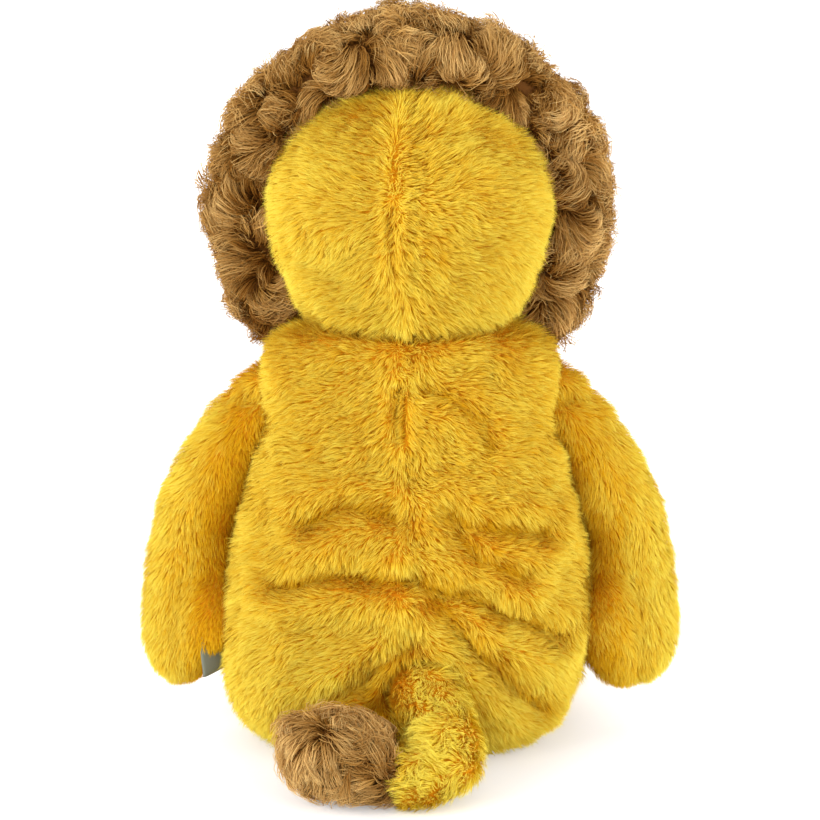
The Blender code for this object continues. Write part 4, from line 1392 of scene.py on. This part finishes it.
class PLUSH_OT_legs(Operator):
    """Both legs and their soles"""

    bl_idname = "plush.legs"
    bl_label = "Legs"

    def execute(self, context):
        form = Form(mesh_size=0.0025, inset=0.0013, fill=0.75, reach=0.0030)
        pad = Form(mesh_size=0.001, inset=0.0, fill=0.4, reach=0.001)
        pile = yellow_pile(sizes().limb_pile, 0.48, lift=0.95, droop=0.35)
        for number, side in enumerate(SIDES):
            leg, body = side + "_leg", "leg_" + side
            furred(
                leg, form, body, fur_coat("yellow", pale=True), pile, comb_leg, seed=70 + number,
                shade=leg_shade, inside=(leg + "_filling",),
            )
            furred(side + "_sole", pad, body, fur_coat("cream"), plush_pile(), comb_ear, seed=75 + number)
        return {"FINISHED"}


class PLUSH_OT_tail(Operator):
    """Tail: a stuffed tube, and a tuft of long wavy pile at its end"""

    bl_idname = "plush.tail"
    bl_label = "Tail"

    def execute(self, context):
        s = sizes()
        pile = yellow_pile(s.limb_pile, 1.1, lift=1.05, droop=0.20, wander=0.9, pull=0.55, variety=0.26)
        furred(
            "tail_tube", Form(mesh_size=0.002, inset=0.0008, fill=0.7), "tail", fur_coat("yellow"), pile,
            comb_tail, seed=80, shade=tail_painted_shade, inside=("tail_filling",), folds=tail_folds,
        )
        coat = fur_coat("brown")
        skin = stuffed_skin("tail_tuft", Form(mesh_size=0.002, inset=0.0062, fill=0.6), "tail", coat)
        move_corners(skin, corners(skin) + np.array((0.0, -0.0020, 0.0028)))
        pile = Pile(
            density=3.9, length=s.tuft_pile, variety=0.22, lift=1.20, droop=-0.60, clump=0.0032, pull=0.74,
            width=s.mane_strand * 1.1, wander=0.75, roll=0.8, steps=4, curl=0.0008, waves=1.2,
        )
        ground = Ground(skin, ("tail_tuft",))
        move_corners(skin, slanted(corners(skin)))
        grow_pile(
            "tail_tuft_pile", ground, pile, comb_tuft, coat, "tail", seed=85, shade=tuft_painted_shade,
            outline=tuft_outline(),
        )
        return {"FINISHED"}


class PLUSH_OT_label(Operator):
    """Label: a bare ribbon, folded double and sewn in the side seam"""

    bl_idname = "plush.label"
    bl_label = "Label"

    def execute(self, context):
        low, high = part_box("side_label")
        reach = Vector((high.x - low.x, high.y - low.y, 0))
        along = reach.normalized()
        across = Vector((-along.y, along.x, 0))
        reach *= LABEL_REACH_SHARE
        height = (high.z - low.z) * LABEL_HEIGHT_SHARE
        levels = 14
        line = self.fold()
        points = []
        for level in range(levels + 1):
            share = level / levels
            for out, side in line:
                wave = LABEL_WAVE * math.sin(2.2 * math.pi * share + 1.5 * out) * out
                swell = LABEL_HALF_GAP * (1 + 1.3 * math.sin(math.pi * out))
                at = low + along * (reach.length * out) + across * (side * swell + wave)
                at.z = low.z + LABEL_FOOT + share * height - LABEL_DROOP * out
                points.append(at)
        width = len(line)
        faces = [
            (level * width + i, level * width + i + 1, (level + 1) * width + i + 1, (level + 1) * width + i)
            for level in range(levels) for i in range(width - 1)
        ]
        mesh = bpy.data.meshes.new("side_label_ribbon")
        mesh.from_pydata(points, [], faces)
        piece = add_object("side_label_ribbon", mesh)
        apply_modifier(piece, "SOLIDIFY", thickness=LABEL_THICKNESS, offset=0.0)
        colour = tuple(colours().label)
        paint = cloth_paint("label_ribbon", tuple(x * 0.75 for x in colour), colour, 1400.0)
        dress(piece, "side_label", "torso", paint)
        return {"FINISHED"}

    def fold(self, steps=8, turns=6, bend=0.94):
        """The ribbon from above, out and back: how far out each point is, as a share, and on which side."""
        angles = [math.pi * turn / turns for turn in range(turns + 1)]
        way = [step / steps * bend for step in range(steps)]
        out = [(share, 1.0) for share in way]
        back = [(share, -1.0) for share in reversed(way)]
        return out + [(bend + (1 - bend) * math.sin(angle), math.cos(angle)) for angle in angles] + back


class PLUSH_OT_inside(Operator):
    """Materials of the pieces inside that keep their CAD shape"""

    bl_idname = "plush.inside"
    bl_label = "Inside"

    def execute(self, context):
        fibre = shared_paint("fibre_filling", fibre_paint)
        bag = cloth_paint("pellet_bag_cloth", (0.62, 0.55, 0.42), (0.84, 0.78, 0.66), 900.0)
        paints = {"filling": fibre, "bag": bag, "washer": washer_paint()}
        for name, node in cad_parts.items():
            if node.hide_render:
                continue
            key = next(key for key in paints if key in name)
            node.data.materials.clear()
            node.data.materials.append(paints[key])
        return {"FINISHED"}


class PLUSH_OT_stage(Operator):
    """Floor, light and camera"""

    bl_idname = "plush.stage"
    bl_label = "Stage"

    def execute(self, context):
        settings = context.scene.stage_settings
        deselect()
        bpy.ops.mesh.primitive_plane_add(size=FLOOR_SIZE, location=(0, 0, 0))
        floor = bpy.context.object
        floor.name = "floor"
        floor.data.materials.append(self.floor_paint())
        self.lamp("key_lamp", place=(1.35, 0.95, 0.85), size=1.3, power=settings.key)
        self.lamp("fill_lamp", place=(-1.45, 0.70, 0.60), size=1.3, power=settings.fill)
        self.lamp("front_lamp", place=(0.35, -1.5, 1.0), size=1.4, power=settings.fill)
        self.sky(settings.sky)
        self.camera(settings)
        context.scene.view_settings.view_transform = "Standard"
        return {"FINISHED"}

    def floor_paint(self):
        paint = Paint("floor_paint", Base_Color=tuple(colours().floor), Roughness=0.9, Specular_IOR_Level=0.1)
        paint.set("Emission Color", WHITE)
        paint.set("Emission Strength", paint.backdrop_rays() * FLOOR_GLOW)
        return paint.material

    def lamp(self, name, place, size, power):
        deselect()
        bpy.ops.object.light_add(type="AREA", location=place)
        lamp = bpy.context.object
        lamp.name = name
        lamp.data.size = size
        lamp.data.energy = power
        lamp.rotation_euler = (LAMP_AIM - Vector(place)).to_track_quat("-Z", "Y").to_euler()

    def sky(self, strength):
        """A plain soft light from all round, and a white backdrop."""
        world = bpy.data.worlds.new("studio")
        bpy.context.scene.world = world
        nodes = Nodes(world)
        light = nodes.tree.nodes["Background"]
        nodes.feed(light.inputs["Color"], WHITE)
        nodes.feed(light.inputs["Strength"], strength)
        shaders = {
            0: nodes.backdrop_rays(),
            1: Value(nodes, light.outputs[0]),
            2: nodes.node("ShaderNodeBackground", None, {"Color": WHITE, "Strength": 1.0}),
        }
        mixed = nodes.node("ShaderNodeMixShader", None, shaders)
        nodes.feed(nodes.tree.nodes["World Output"].inputs["Surface"], mixed)

    def camera(self, settings):
        deselect()
        aim = Vector((0, 0, settings.aim_height))
        angle = settings.camera_height
        back = Vector((0, math.cos(angle), math.sin(angle)))
        bpy.ops.object.camera_add(location=aim + back * settings.camera_distance)
        camera = bpy.context.object
        camera.rotation_euler = (-back).to_track_quat("-Z", "Y").to_euler()
        camera.data.sensor_width = CAMERA_SENSOR
        camera.data.lens = CAMERA_LENS
        bpy.context.scene.camera = camera


class PLUSH_PT_lion(Panel):
    """The lion's sizes, colours and build steps"""

    bl_idname = "PLUSH_PT_lion"
    bl_label = "Plush Lion"
    bl_space_type = "VIEW_3D"
    bl_region_type = "UI"
    bl_category = "Plush Lion"

    def draw(self, context):
        layout = self.layout
        for group in (context.scene.lion_sizes, context.scene.lion_colours, context.scene.stage_settings):
            for name in group.__annotations__:
                layout.prop(group, name)
        for operator in OPERATORS:
            layout.operator(operator.bl_idname)


GROUPS = {"lion_sizes": LionSizes, "lion_colours": LionColours, "stage_settings": StageSettings}
OPERATORS = (
    PLUSH_OT_torso, PLUSH_OT_head, PLUSH_OT_mane, PLUSH_OT_ears, PLUSH_OT_muzzle, PLUSH_OT_eyes,
    PLUSH_OT_arms, PLUSH_OT_legs, PLUSH_OT_tail, PLUSH_OT_label, PLUSH_OT_inside, PLUSH_OT_stage,
)


def register():
    for group in GROUPS.values():
        bpy.utils.register_class(group)
    for name, group in GROUPS.items():
        setattr(bpy.types.Scene, name, PointerProperty(type=group))
    for operator in OPERATORS:
        bpy.utils.register_class(operator)
    bpy.utils.register_class(PLUSH_PT_lion)


def unregister():
    bpy.utils.unregister_class(PLUSH_PT_lion)
    for operator in reversed(OPERATORS):
        bpy.utils.unregister_class(operator)
    for name, group in GROUPS.items():
        delattr(bpy.types.Scene, name)
        bpy.utils.unregister_class(group)


def main():
    register()
    bpy.ops.plush.torso()
    bpy.ops.plush.head()
    bpy.ops.plush.mane()
    bpy.ops.plush.ears()
    bpy.ops.plush.muzzle()
    bpy.ops.plush.eyes()
    bpy.ops.plush.arms()
    bpy.ops.plush.legs()
    bpy.ops.plush.tail()
    bpy.ops.plush.label()
    bpy.ops.plush.inside()
    bpy.ops.plush.stage()


if __name__ == "__main__":
    main()
